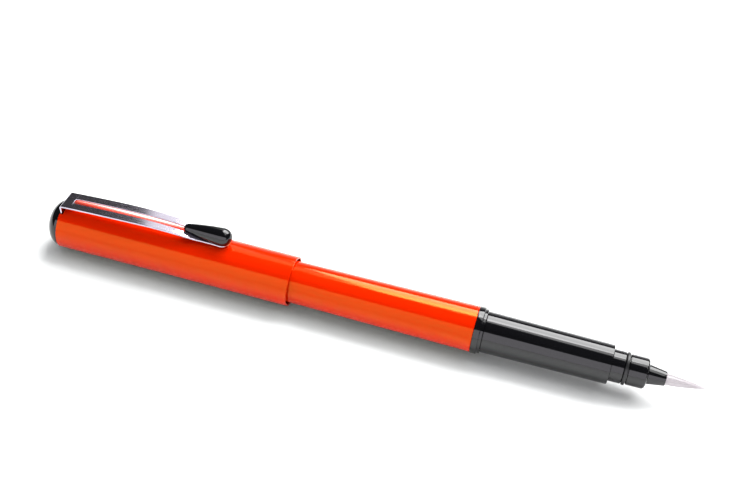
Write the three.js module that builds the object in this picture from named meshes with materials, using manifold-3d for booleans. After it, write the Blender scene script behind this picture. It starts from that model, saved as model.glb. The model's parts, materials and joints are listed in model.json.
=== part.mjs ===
// A cartridge-filled brush pen lying on its side, with its cap posted on the barrel's tail.
//
// Millimetres, +Z up. The pen's axis runs along X with the bristles towards +X and the clip on top.
// The origin is the centre of the underside of the whole pen's box, where the cap rests on a table.
//
// Every round piece is a profile of [x, radius] points turned about the pen's axis. While the pieces
// are made, x = 0 is the barrel's mouth, the plane where barrel and front section meet.

import * as THREE from "three";
import { mergeVertices } from "three/addons/utils/BufferGeometryUtils.js";
import Module from "manifold-3d";

const wasm = await Module();
wasm.setup();

// ---------------------------------------------------------------------------------------------
// Driving dimensions, in millimetres
// ---------------------------------------------------------------------------------------------
const SIDES = 28; // facets round a turned piece
const FIT_GAP = 0.05; // between faces that seat on each other
const SLIP_GAP = 0.1; // radial play of a piece that is pushed into another
const RUN_GAP = 0.15; // play of screw threads and of the clip's foot in its slot

// barrel
const BARREL_LENGTH = 71.2;
const BARREL_MOUTH_RADIUS = 5.56;
const BARREL_TAIL_RADIUS = 4.9;
const BARREL_FLOOR = 1.8; // thickness of the closed tail
const BARREL_TAIL_ROUND = 0.9;
const BARREL_TAIL_WALL = 1.65;

// cap
const CAP_LENGTH = 59.6; // coloured shell, without its crown
const CAP_RADIUS = 6.2;
const POSTED_DEPTH = 26; // how far the barrel's tail goes into the posted cap
const MOUTH_LIP = 0.42; // wall of the cap at its open end
const MOUTH_DEPTH = 2.5; // depth of the wide mouth that snaps over the collar
const CAP_BORE_WALL = 0.9; // wall behind the mouth
const POST_GRIP_LENGTH = 3.5; // how much of the barrel's tail the narrow end of the bore grips
const CAP_EDGE = 0.2; // broken edges of the shell
const CROWN_HEIGHT = 3.9;
const CROWN_INSET = 0.25; // how far the crown's rim stands in from the shell's surface
const CROWN_STEM = 2.2;

// inner cap, the liner that keeps the bristles from drying
const LINER_TAIL_GAP = 4.6; // from the posted barrel's tail to the liner's open end
const LINER_FLOOR = 0.9;
const LINER_FLARE = 0.6; // chamfer that leads the sealing ring in

// clip
const CLIP_THICKNESS = 0.45;
const CLIP_ROOT_HALF = 3.0; // half widths of the strip
const CLIP_MIDDLE_HALF = 3.05;
const CLIP_TAPER_HALF = 2.65;
const CLIP_NOSE_HALF = 1.75;
const CLIP_ARM_WIDTH = 2.15; // steel left on each side of the slot
const CLIP_BRIDGE = 2.6; // steel between the foot and the slot
const CLIP_REACH = 43.1; // from the foot to the free end
const CLIP_BEND = 0.5; // length of the bend between foot and strip
const CLIP_LEAN = 0.2; // how far the foot leans back at its top
const CLIP_FOOT_DEPTH = 2.0; // how deep the foot goes below the cap's surface
const CLIP_RISE = 1.7; // middle of the arch above the cap's surface
const BULB_LENGTH = 12.2;
const BULB_RADIUS = 2.15;
const BULB_NECK_RADIUS = 1.0;
const BULB_OVERHANG = 0.2; // how far its round end stands past the strip

// front section
const COLLAR_LENGTH = 2.2;
const COLLAR_RADIUS = 5.7;
const GRIP_LENGTH = 30.1;
const GRIP_REAR_RADIUS = 4.98;
const GRIP_FRONT_RADIUS = 4.72;
const SPIGOT_LENGTH = 7.5; // part of the grip that screws into the barrel
const NECK_STEP = 0.35; // from the screw's core out to the plain neck inside the collar
const BULKHEAD_START = 3.0; // wall inside the grip that carries the feed tube
const BULKHEAD_THICKNESS = 2.0;
const GRIP_BORE_RADIUS = 3.3;
const NOSE_LENGTH = 8.6;
const NOSE_REAR_RADIUS = 3.82;
const NOSE_FRONT_RADIUS = 3.68;
const NOSE_PLUG_LENGTH = 6.0;
const NOSE_BORE_RADIUS = 2.7;
const NOSE_LIP = 0.8;
const RING_OFFSET = 3.55; // from the grip's front edge to the middle of the sealing ring
const RING_WIDTH = 0.8;
const RING_RADIUS = 3.95;
const RING_BED_DEPTH = 0.25;
const FERRULE_LENGTH = 4.2; // visible cone
const FERRULE_BASE_RADIUS = 2.37;
const FERRULE_LIP = 0.16; // wall of the ferrule at its mouth
const FERRULE_FLANGE_LENGTH = 5.2;

// screw joint between barrel and grip
const THREAD_PITCH = 1.5;
const THREAD_CORE_STEP = 0.2; // from the cartridge's surface out to the screw's core
const THREAD_HEIGHT = 0.4;
const THREAD_BASE = 0.9;
const THREAD_CREST = 0.4;
const THREAD_LEAD = 1.2; // plain end of the spigot before the first turn
const THREAD_TURNS = 2.75;
const THREAD_STEPS = 24; // facets in a turn

// bristles
const TUFT_LENGTH = 10;
const TUFT_RADIUS = 1.48;
const TUFT_MIDDLE_RADIUS = 0.92; // at half length

// feed
const TUBE_RADIUS = 1.25;
const TUBE_BORE = 0.6;
const TUBE_START = -3.8;
const WICK_OVERHANG = 0.6; // how far the wick stands out of the tube's rear end
const FEED_NOSE_GAP = 1.6; // from the feed's front end to the nose sleeve's plug
const FEED_GROOVES = 5;
const FEED_GROOVE_WIDTH = 1.2;
const FEED_GROOVE_DEPTH = 0.9;

// cartridge
const CARTRIDGE_BODY = 40.1;
const CARTRIDGE_RADIUS = 3.75;
const CARTRIDGE_WALL = 0.5;
const CARTRIDGE_NECK = 6.9;
const CARTRIDGE_NECK_RADIUS = 2.5;
const BALL_RADIUS = 1.5;
const CARTRIDGE_ROUND = 0.8;
const INK_GAP = 0.25;

// ---------------------------------------------------------------------------------------------
// Stations along the pen, worked out from the dimensions above
// ---------------------------------------------------------------------------------------------
const CAP_MOUTH = POSTED_DEPTH - BARREL_LENGTH;
const CAP_END = CAP_MOUTH - CAP_LENGTH;
const COLLAR_END = FIT_GAP + COLLAR_LENGTH;
const GRIP_START = COLLAR_END + FIT_GAP;
const GRIP_END = GRIP_START + GRIP_LENGTH;
const NOSE_START = GRIP_END + FIT_GAP;
const PLUG_END = NOSE_START - NOSE_PLUG_LENGTH;
const FEED_END = PLUG_END - FEED_NOSE_GAP;
const NOSE_END = NOSE_START + NOSE_LENGTH;
const FERRULE_END = NOSE_END + FERRULE_LENGTH;
const TIP = FERRULE_END + TUFT_LENGTH;
const THREAD_START = THREAD_LEAD - SPIGOT_LENGTH;
const CARTRIDGE_FRONT = -SPIGOT_LENGTH - 2 * RUN_GAP;
const CARTRIDGE_BACK = CARTRIDGE_FRONT - CARTRIDGE_BODY;
const BARREL_STOP = CARTRIDGE_BACK - 2 * SLIP_GAP;
const AXIS_HEIGHT = CAP_RADIUS * Math.cos(Math.PI / SIDES); // the cap lies on its lowest facet
const PEN_START = CAP_END - FIT_GAP - CROWN_HEIGHT;
const BOX_CENTRE = (PEN_START + TIP) / 2;

// radii that follow from the pieces they hold
const THREAD_CORE_RADIUS = CARTRIDGE_RADIUS + THREAD_CORE_STEP;
const NECK_RADIUS = THREAD_CORE_RADIUS + NECK_STEP;
const BARREL_BORE_RADIUS = THREAD_CORE_RADIUS + RUN_GAP;
const TUFT_BORE = TUFT_RADIUS + SLIP_GAP;
const FERRULE_MOUTH_RADIUS = TUFT_BORE + FERRULE_LIP;

// ---------------------------------------------------------------------------------------------
// Materials
// ---------------------------------------------------------------------------------------------
const finish = (color, roughness, metalness = 0) =>
  new THREE.MeshStandardMaterial({ color, roughness, metalness });
const ORANGE = finish(0xf24a05, 0.2);
const BLACK = finish(0x15151a, 0.22);
const CHROME = finish(0xc9c9cf, 0.12, 1);
const RUBBER = finish(0x1b1b1b, 0.7);
const LINER_WHITE = finish(0xe9e9e4, 0.5);
const CLEAR = finish(0xdfe4e6, 0.3);
const INK = finish(0x050507, 0.1);
const NYLON = finish(0xf4f4f2, 0.6);
const FEED_GREY = finish(0xb9bcc0, 0.5);

// ---------------------------------------------------------------------------------------------
// Helpers
// ---------------------------------------------------------------------------------------------

// A profile of [x, radius] points turned about X. It runs forwards outside and backwards inside,
// and either starts and ends on the axis or is closed by its first point.
function turned(profile, sides = SIDES) {
  const onAxis = profile[0][1] === 0;
  const loop = onAxis ? profile : [...profile, profile[0]];
  const points = loop.map(([x, radius]) => new THREE.Vector2(radius, x));
  const geometry = new THREE.LatheGeometry(points, sides, Math.PI / sides);
  return geometry.rotateZ(-Math.PI / 2);
}

// Points of an elliptic arc round (x, radius), from one angle to another in degrees, where 0 points
// forwards along the pen and 90 points outwards.
function arc(x, radius, alongX, outwards, from, to, steps) {
  const points = [];
  for (let i = 0; i <= steps; i++) {
    const angle = THREE.MathUtils.degToRad(from + ((to - from) * i) / steps);
    points.push([x + alongX * Math.cos(angle), radius + outwards * Math.sin(angle)]);
  }
  return points;
}

// A closed three.js geometry as a manifold-3d solid.
function solid(geometry) {
  const plain = geometry.clone();
  plain.deleteAttribute("normal");
  plain.deleteAttribute("uv");
  const merged = mergeVertices(plain, 1e-4);
  return new wasm.Manifold(
    new wasm.Mesh({
      numProp: 3,
      vertProperties: new Float32Array(merged.attributes.position.array),
      triVerts: new Uint32Array(merged.index.array),
    }),
  );
}

// A manifold-3d solid as a three.js geometry.
function geometryOf(made) {
  const mesh = made.getMesh();
  return new THREE.BufferGeometry()
    .setAttribute("position", new THREE.BufferAttribute(mesh.vertProperties, 3))
    .setIndex(new THREE.BufferAttribute(mesh.triVerts, 1));
}

// A box from its lowest to its highest corner.
function block(low, high) {
  const size = high.map((value, i) => value - low[i]);
  const middle = high.map((value, i) => (value + low[i]) / 2);
  return new THREE.BoxGeometry(...size).translate(...middle);
}

// A helical ridge about X: its flat section, [along, radius] points, is extruded along the turns
// and then wound up, advancing one pitch in a turn.
function ridge(base, crest, innerRadius, outerRadius, start, turns) {
  const section = new THREE.Shape([
    new THREE.Vector2(-base / 2, innerRadius),
    new THREE.Vector2(base / 2, innerRadius),
    new THREE.Vector2(crest / 2, outerRadius),
    new THREE.Vector2(-crest / 2, outerRadius),
  ]);
  const wound = new THREE.ExtrudeGeometry(section, {
    depth: turns,
    steps: Math.round(turns * THREAD_STEPS),
    bevelEnabled: false,
  });
  const position = wound.attributes.position;
  for (let i = 0; i < position.count; i++) {
    const turn = position.getZ(i);
    const radius = position.getY(i);
    const angle = turn * 2 * Math.PI;
    const x = start + position.getX(i) + turn * THREAD_PITCH;
    position.setXYZ(i, x, radius * Math.cos(angle), radius * Math.sin(angle));
  }
  return wound;
}

const pen = new THREE.Group();
pen.position.set(-BOX_CENTRE, 0, AXIS_HEIGHT);

function add(name, geometry, material) {
  const mesh = new THREE.Mesh(geometry, material);
  mesh.name = name;
  pen.add(mesh);
}

// ---------------------------------------------------------------------------------------------
// Barrel: a moulded tube, closed and slightly thinner at the tail, with a female thread at its
// mouth and an inner shoulder that pushes the cartridge home
// ---------------------------------------------------------------------------------------------
function barrel() {
  const tail = -BARREL_LENGTH;
  const floor = tail + BARREL_FLOOR;
  const tailBore = BARREL_TAIL_RADIUS - BARREL_TAIL_WALL;
  const edge = 0.15;
  const shell = solid(
    turned([
      [tail, 0],
      ...arc(
        tail + BARREL_TAIL_ROUND,
        BARREL_TAIL_RADIUS - BARREL_TAIL_ROUND,
        BARREL_TAIL_ROUND,
        BARREL_TAIL_ROUND,
        180,
        90,
        4,
      ),
      [-edge, BARREL_MOUTH_RADIUS],
      [0, BARREL_MOUTH_RADIUS - edge],
      [0, BARREL_BORE_RADIUS],
      [BARREL_STOP, BARREL_BORE_RADIUS],
      [BARREL_STOP, tailBore],
      [floor, tailBore],
      [floor, 0],
    ]),
  );
  // the groove follows the grip's ridge all the way out of the mouth
  const lead = 1 / 12;
  const groove = ridge(
    THREAD_BASE + 2 * RUN_GAP,
    THREAD_CREST + 2 * RUN_GAP,
    THREAD_CORE_RADIUS - RUN_GAP,
    THREAD_CORE_RADIUS + THREAD_HEIGHT + RUN_GAP,
    THREAD_START - lead * THREAD_PITCH,
    (-THREAD_START + THREAD_PITCH) / THREAD_PITCH + lead,
  );
  groove.rotateX(-lead * 2 * Math.PI);
  return geometryOf(shell.subtract(solid(groove)));
}
add("barrel", barrel(), ORANGE);

// ---------------------------------------------------------------------------------------------
// Cap: shell, crown and inner cap
// ---------------------------------------------------------------------------------------------

// The strip's foot stands in a slot cut across the shell's end and the crown's stem.
const FOOT_OUTER = CAP_END + 2 * RUN_GAP;
const FOOT_INNER = FOOT_OUTER + CLIP_THICKNESS;
const FOOT_BOTTOM = CAP_RADIUS - CLIP_FOOT_DEPTH;

function footSlot(start) {
  const half = CLIP_ROOT_HALF + RUN_GAP;
  const low = [start, -half, FOOT_BOTTOM - RUN_GAP];
  const high = [FOOT_INNER + RUN_GAP, half, 2 * CAP_RADIUS];
  return solid(block(low, high));
}

const POST_SEAT_RADIUS = BARREL_TAIL_RADIUS + SLIP_GAP;
const LINER_OUTER_RADIUS = POST_SEAT_RADIUS - FIT_GAP;

function capShell() {
  const mouthRadius = CAP_RADIUS - MOUTH_LIP;
  const boreRadius = CAP_RADIUS - CAP_BORE_WALL;
  const mouthEnd = CAP_MOUTH - MOUTH_DEPTH;
  const gripStart = POST_GRIP_LENGTH - BARREL_LENGTH;
  const shell = solid(
    turned([
      [CAP_END, CAP_RADIUS - CAP_EDGE],
      [CAP_END + CAP_EDGE, CAP_RADIUS],
      [CAP_MOUTH - CAP_EDGE, CAP_RADIUS],
      [CAP_MOUTH, CAP_RADIUS - CAP_EDGE],
      [CAP_MOUTH, mouthRadius],
      [mouthEnd, mouthRadius],
      [mouthEnd - (mouthRadius - boreRadius), boreRadius],
      [gripStart + 2 * (boreRadius - POST_SEAT_RADIUS), boreRadius],
      [gripStart, POST_SEAT_RADIUS],
      [CAP_END, POST_SEAT_RADIUS],
    ]),
  );
  return geometryOf(shell.subtract(footSlot(CAP_END - CROWN_HEIGHT)));
}
add("cap_shell", capShell(), ORANGE);

function capCrown() {
  const seat = CAP_END - FIT_GAP;
  const dome = arc(seat, 0, CROWN_HEIGHT, CAP_RADIUS - CROWN_INSET, 180, 90, 8);
  dome[0][1] = 0;
  const crown = solid(
    turned([
      ...dome,
      [seat, LINER_OUTER_RADIUS],
      [seat + CROWN_STEM, LINER_OUTER_RADIUS],
      [seat + CROWN_STEM, 0],
    ]),
  );
  return geometryOf(crown.subtract(footSlot(seat)));
}
add("cap_crown", capCrown(), BLACK);

function innerCap() {
  const open = -BARREL_LENGTH - LINER_TAIL_GAP;
  const closed = CAP_END + CROWN_STEM + 2 * SLIP_GAP;
  const seal = RING_RADIUS + FIT_GAP;
  return turned([
    [closed, 0],
    [closed, LINER_OUTER_RADIUS],
    [open, LINER_OUTER_RADIUS],
    [open, seal + LINER_FLARE],
    [open - LINER_FLARE, seal],
    [closed + LINER_FLOOR, seal],
    [closed + LINER_FLOOR, 0],
  ]);
}
add("inner_cap", innerCap(), LINER_WHITE);

// ---------------------------------------------------------------------------------------------
// Clip: a chromed steel strip, slotted along its middle, and the teardrop bulb on its free end
// ---------------------------------------------------------------------------------------------

// The strip's middle line seen from the side: distances along it from the foot, and how much of
// its rise above the cap it has there.
const CLIP_END = FOOT_OUTER + CLIP_REACH;
const CLIP_REST = CAP_RADIUS + FIT_GAP + CLIP_THICKNESS / 2;
const clipLine = new THREE.CatmullRomCurve3(
  [
    [CLIP_BEND, 0.5],
    [7, 0.72],
    [15, 0.92],
    [25, 1],
    [31, 0.78],
    [36, 0.34],
    [40, 0.12],
    [CLIP_REACH, 0.08],
  ].map(([along, rise]) => new THREE.Vector3(FOOT_OUTER + along, 0, CLIP_REST + rise * CLIP_RISE)),
);

// The strip's middle line raised by half its thickness, or lowered by it.
function clipEdge(offset, steps = 20) {
  return Array.from({ length: steps + 1 }, (_, i) => {
    const at = clipLine.getPoint(i / steps);
    const along = clipLine.getTangent(i / steps);
    return [at.x - along.z * offset, at.z + along.x * offset];
  });
}

// A shape drawn in the XZ plane, given thickness along Y.
function sideways(outline, halfWidth) {
  const shape = new THREE.Shape(outline.map(([x, z]) => new THREE.Vector2(x, z)));
  return new THREE.ExtrudeGeometry(shape, { depth: 2 * halfWidth, bevelEnabled: false })
    .translate(0, 0, -halfWidth)
    .rotateX(Math.PI / 2);
}

// The outline seen from above: widest in the middle, narrower under the bulb with a round end, and
// a round-ended slot between two arms.
function clipPlan() {
  const root = CAP_END - CROWN_HEIGHT;
  const middle = (FOOT_OUTER + CLIP_END) / 2;
  const taperEnd = CLIP_END - 2 * CLIP_NOSE_HALF;
  const edge = new THREE.SplineCurve([
    new THREE.Vector2(FOOT_OUTER, CLIP_ROOT_HALF),
    new THREE.Vector2(middle, CLIP_MIDDLE_HALF),
    new THREE.Vector2((middle + taperEnd) / 2, CLIP_TAPER_HALF),
    new THREE.Vector2(taperEnd, CLIP_NOSE_HALF),
  ]).getPoints(24);
  const plan = new THREE.Shape();
  plan.moveTo(root, -CLIP_ROOT_HALF);
  edge.forEach(({ x, y }) => plan.lineTo(x, -y));
  plan.absarc(CLIP_END - CLIP_NOSE_HALF, 0, CLIP_NOSE_HALF, -Math.PI / 2, Math.PI / 2);
  edge.reverse().forEach(({ x, y }) => plan.lineTo(x, y));
  plan.lineTo(root, CLIP_ROOT_HALF);
  const slotHalf = CLIP_MIDDLE_HALF - CLIP_ARM_WIDTH;
  const slotStart = FOOT_OUTER + CLIP_BRIDGE + slotHalf;
  const slotEnd = CLIP_END - BULB_LENGTH;
  const slot = new THREE.Path();
  slot.absarc(slotStart, 0, slotHalf, Math.PI / 2, (3 * Math.PI) / 2);
  slot.absarc(slotEnd, 0, slotHalf, -Math.PI / 2, Math.PI / 2);
  plan.holes.push(slot);
  return new THREE.ExtrudeGeometry(plan, {
    depth: 4 * CAP_RADIUS,
    bevelEnabled: false,
    curveSegments: 8,
  });
}

function clipStrip() {
  const half = CLIP_THICKNESS / 2;
  const upper = clipEdge(half).reverse();
  const lower = clipEdge(-half);
  const corner = upper.at(-1)[1];
  const side = [
    [FOOT_INNER, FOOT_BOTTOM],
    [FOOT_INNER - CLIP_LEAN, lower[0][1]],
    ...lower.slice(1),
    ...upper,
    [FOOT_OUTER - CLIP_LEAN + CLIP_THICKNESS / 3, corner - CLIP_THICKNESS / 6],
    [FOOT_OUTER - CLIP_LEAN, corner - CLIP_THICKNESS],
    [FOOT_OUTER, FOOT_BOTTOM],
  ];
  return geometryOf(
    solid(sideways(side, 2 * CLIP_MIDDLE_HALF)).intersect(solid(clipPlan())),
  );
}
add("clip_strip", clipStrip(), CHROME);

// A teardrop whose round end is forwards, cut flat where it sits on the strip.
function clipBulb() {
  const end = CLIP_END + BULB_OVERHANG;
  const neck = end - BULB_LENGTH + BULB_NECK_RADIUS;
  const profile = [
    ...arc(neck, 0, BULB_NECK_RADIUS, BULB_NECK_RADIUS, 180, 100, 4),
    ...arc(end - BULB_RADIUS, 0, BULB_RADIUS, BULB_RADIUS, 98, 0, 8),
  ];
  profile[0][1] = 0;
  profile.at(-1)[1] = 0;
  const drop = turned(profile, 24).translate(0, 0, CLIP_REST + BULB_RADIUS);
  const seat = clipEdge(CLIP_THICKNESS / 2 + FIT_GAP);
  const past = end + BULB_OVERHANG;
  const under = [...seat, [past, seat.at(-1)[1]], [past, 0], [FOOT_OUTER, 0]];
  return geometryOf(solid(drop).subtract(solid(sideways(under, 2 * CAP_RADIUS))));
}
add("clip_bulb", clipBulb(), BLACK);

// ---------------------------------------------------------------------------------------------
// Collar: the loose ring between barrel and grip
// ---------------------------------------------------------------------------------------------
function collarRing() {
  const bore = NECK_RADIUS + SLIP_GAP;
  const edge = 0.25;
  return turned([
    [FIT_GAP, COLLAR_RADIUS - edge],
    [FIT_GAP + edge, COLLAR_RADIUS],
    [COLLAR_END - edge, COLLAR_RADIUS],
    [COLLAR_END, COLLAR_RADIUS - edge],
    [COLLAR_END, bore],
    [FIT_GAP, bore],
  ]);
}
add("collar_ring", collarRing(), BLACK);

// ---------------------------------------------------------------------------------------------
// Front section: grip, nose sleeve with its sealing ring, ferrule, feed and bristles
// ---------------------------------------------------------------------------------------------
const NECK_BORE = CARTRIDGE_NECK_RADIUS + 2 * SLIP_GAP;
const PLUG_RADIUS = GRIP_BORE_RADIUS - FIT_GAP;
const bulkheadEnd = BULKHEAD_START + BULKHEAD_THICKNESS;

function gripSection() {
  const edge = 0.15;
  const body = solid(
    turned([
      [-SPIGOT_LENGTH, THREAD_CORE_RADIUS - edge],
      [-SPIGOT_LENGTH + edge, THREAD_CORE_RADIUS],
      [FIT_GAP, THREAD_CORE_RADIUS],
      [FIT_GAP, NECK_RADIUS],
      [GRIP_START, NECK_RADIUS],
      [GRIP_START, GRIP_REAR_RADIUS - edge],
      [GRIP_START + edge, GRIP_REAR_RADIUS],
      [GRIP_END - edge, GRIP_FRONT_RADIUS],
      [GRIP_END, GRIP_FRONT_RADIUS - edge],
      [GRIP_END, GRIP_BORE_RADIUS],
      [bulkheadEnd, GRIP_BORE_RADIUS],
      [bulkheadEnd, TUBE_RADIUS + SLIP_GAP],
      [BULKHEAD_START, TUBE_RADIUS + SLIP_GAP],
      [BULKHEAD_START, NECK_BORE],
      [-SPIGOT_LENGTH, NECK_BORE],
    ]),
  );
  const bury = 0.15;
  const thread = ridge(
    THREAD_BASE,
    THREAD_CREST,
    THREAD_CORE_RADIUS - bury,
    THREAD_CORE_RADIUS + THREAD_HEIGHT,
    THREAD_START,
    THREAD_TURNS,
  );
  return geometryOf(body.add(solid(thread)));
}
add("grip_section", gripSection(), BLACK);

const RING_MIDDLE = GRIP_END + RING_OFFSET;
const RING_BED = NOSE_FRONT_RADIUS - RING_BED_DEPTH;

function noseSleeve() {
  const bedStart = RING_MIDDLE - RING_WIDTH;
  const bedEnd = RING_MIDDLE + RING_WIDTH;
  const chamfer = 0.7;
  return turned([
    [PLUG_END, PLUG_RADIUS],
    [NOSE_START, PLUG_RADIUS],
    [NOSE_START, NOSE_REAR_RADIUS],
    [bedStart, NOSE_REAR_RADIUS],
    [bedStart, RING_BED],
    [bedEnd, RING_BED],
    [bedEnd, NOSE_FRONT_RADIUS],
    [NOSE_END - chamfer, NOSE_FRONT_RADIUS],
    [NOSE_END - chamfer / 3, NOSE_FRONT_RADIUS - chamfer / 3],
    [NOSE_END, NOSE_FRONT_RADIUS - chamfer],
    [NOSE_END, FERRULE_BASE_RADIUS + SLIP_GAP],
    [NOSE_END - NOSE_LIP, FERRULE_BASE_RADIUS + SLIP_GAP],
    [NOSE_END - NOSE_LIP, NOSE_BORE_RADIUS],
    [PLUG_END, NOSE_BORE_RADIUS],
  ]);
}
add("nose_sleeve", noseSleeve(), BLACK);

function noseRing() {
  const inner = RING_BED + FIT_GAP;
  const half = RING_WIDTH / 2;
  const crown = RING_RADIUS - half / 2;
  return turned([
    [RING_MIDDLE - half, inner],
    ...arc(RING_MIDDLE, crown, half, half / 2, 180, 0, 6),
    [RING_MIDDLE + half, inner],
  ]);
}
add("nose_ring", noseRing(), RUBBER);

const FLANGE_START = NOSE_END - NOSE_LIP - FIT_GAP - FERRULE_FLANGE_LENGTH;
function ferrule() {
  const flangeEnd = FLANGE_START + FERRULE_FLANGE_LENGTH;
  const edge = 0.1;
  return turned([
    [FLANGE_START, NOSE_BORE_RADIUS - FIT_GAP],
    [flangeEnd, NOSE_BORE_RADIUS - FIT_GAP],
    [flangeEnd, FERRULE_BASE_RADIUS],
    [NOSE_END, FERRULE_BASE_RADIUS],
    [FERRULE_END - edge, FERRULE_MOUTH_RADIUS + edge / 2],
    [FERRULE_END, FERRULE_MOUTH_RADIUS],
    [FERRULE_END, TUFT_BORE],
    [FLANGE_START, TUFT_BORE],
  ]);
}
add("ferrule", ferrule(), BLACK);

// Where the gathered root of the bundle ends and the free bristles begin to swing.
const ROOT_END = FERRULE_END - TUFT_RADIUS - SLIP_GAP;

const bristleRoot = turned(
  [
    [FLANGE_START, 0],
    [FLANGE_START, TUFT_RADIUS],
    [ROOT_END, TUFT_RADIUS],
    [ROOT_END, 0],
  ],
  24,
);
add("bristle_root", bristleRoot, NYLON);

// The free bristles: a round base about the ferrule's mouth, then a slim cone to a point.
function bristleTuft() {
  const side = new THREE.QuadraticBezierCurve(
    new THREE.Vector2(FERRULE_END, TUFT_RADIUS),
    new THREE.Vector2(FERRULE_END + TUFT_LENGTH / 2, 2 * TUFT_MIDDLE_RADIUS - TUFT_RADIUS / 2),
    new THREE.Vector2(TIP, 0),
  );
  const cone = side.getPoints(10).map(({ x, y }) => [x, y]);
  cone.at(-1)[1] = 0;
  const base = arc(FERRULE_END, 0, TUFT_RADIUS, TUFT_RADIUS, 180, 90, 6);
  base[0][1] = 0;
  return turned([...base.slice(0, -1), ...cone], 24);
}
add("bristle_tuft", bristleTuft(), NYLON);

// The ink feed: a grooved collector that buffers the ink round the feed tube.
function inkFeed() {
  const start = bulkheadEnd + FIT_GAP;
  const half = FEED_GROOVE_WIDTH / 2;
  const deep = PLUG_RADIUS - FEED_GROOVE_DEPTH;
  const spacing = (FEED_END - start) / (FEED_GROOVES + 1);
  const outside = [];
  for (let i = 1; i <= FEED_GROOVES; i++) {
    const middle = start + i * spacing;
    outside.push([middle - half, PLUG_RADIUS], [middle - half, deep]);
    outside.push([middle + half, deep], [middle + half, PLUG_RADIUS]);
  }
  return turned([
    [start, PLUG_RADIUS],
    ...outside,
    [FEED_END, PLUG_RADIUS],
    [FEED_END, TUBE_RADIUS + FIT_GAP],
    [start, TUBE_RADIUS + FIT_GAP],
  ]);
}
add("ink_feed", inkFeed(), FEED_GREY);

// The feed tube pierces the cartridge at one end and meets the bristles' root at the other.
const feedTube = turned(
  [
    [TUBE_START, TUBE_BORE + 0.15],
    [TUBE_START + 0.8, TUBE_RADIUS],
    [FLANGE_START - FIT_GAP, TUBE_RADIUS],
    [FLANGE_START - FIT_GAP, TUBE_BORE],
    [TUBE_START, TUBE_BORE],
  ],
  24,
);
add("feed_tube", feedTube, CLEAR);

// The wick: a round fibre rod inside the tube that carries the ink from cartridge to bristles.
const wickRadius = TUBE_BORE - FIT_GAP;
const relayWick = turned(
  [
    [TUBE_START - WICK_OVERHANG, 0],
    [TUBE_START - WICK_OVERHANG, wickRadius],
    [FLANGE_START - FIT_GAP, wickRadius],
    [FLANGE_START - FIT_GAP, 0],
  ],
  16,
);
add("relay_wick", relayWick, NYLON);

// ---------------------------------------------------------------------------------------------
// Cartridge: a closed plastic tube with a narrow neck, its sealing ball and its ink
// ---------------------------------------------------------------------------------------------
const CHAMBER_RADIUS = CARTRIDGE_RADIUS - CARTRIDGE_WALL;
const CHAMBER_FRONT = CARTRIDGE_FRONT - CARTRIDGE_WALL;

function cartridgeShell() {
  const neckEnd = CARTRIDGE_FRONT + CARTRIDGE_NECK;
  const seal = TUBE_RADIUS + SLIP_GAP;
  const round = CARTRIDGE_ROUND;
  return turned([
    [CARTRIDGE_BACK, 0],
    ...arc(CARTRIDGE_BACK + round, CARTRIDGE_RADIUS - round, round, round, 180, 90, 3),
    [CARTRIDGE_FRONT - round, CARTRIDGE_RADIUS],
    [CARTRIDGE_FRONT, CARTRIDGE_RADIUS - round],
    [CARTRIDGE_FRONT, CARTRIDGE_NECK_RADIUS],
    [neckEnd, CARTRIDGE_NECK_RADIUS],
    [neckEnd, seal],
    [CHAMBER_FRONT + 2 * round, seal],
    [CHAMBER_FRONT, CHAMBER_RADIUS - round],
    [CHAMBER_FRONT - round, CHAMBER_RADIUS],
    [CARTRIDGE_BACK + CARTRIDGE_WALL, CHAMBER_RADIUS],
    [CARTRIDGE_BACK + CARTRIDGE_WALL, 0],
  ]);
}
add("cartridge_shell", cartridgeShell(), CLEAR);

const BALL_MIDDLE = CHAMBER_FRONT - BALL_RADIUS - INK_GAP;
const ball = new THREE.SphereGeometry(BALL_RADIUS, 16, 12).translate(BALL_MIDDLE, 0, 0);
add("seal_ball", ball, CLEAR);

const inkFront = BALL_MIDDLE - BALL_RADIUS - INK_GAP;
const inkBack = CARTRIDGE_BACK + CARTRIDGE_WALL + INK_GAP;
const inkRadius = CHAMBER_RADIUS - INK_GAP;
const ink = turned(
  [
    [inkBack, 0],
    [inkBack, inkRadius],
    [inkFront, inkRadius],
    [inkFront, 0],
  ],
  24,
);
add("ink_charge", ink, INK);

export default pen;
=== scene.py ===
# %% [markdown]
# # A brush pen, lying with its cap posted
#
# The pen is a handful of glossy mouldings round one axis, a folded steel clip and a pointed tuft of
# nylon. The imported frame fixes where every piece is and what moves. Each cell below makes one piece
# or one finish round that frame.

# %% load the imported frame
import json
import math
import random

import bpy
import numpy as np
from mathutils import Euler, Matrix, Vector

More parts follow.
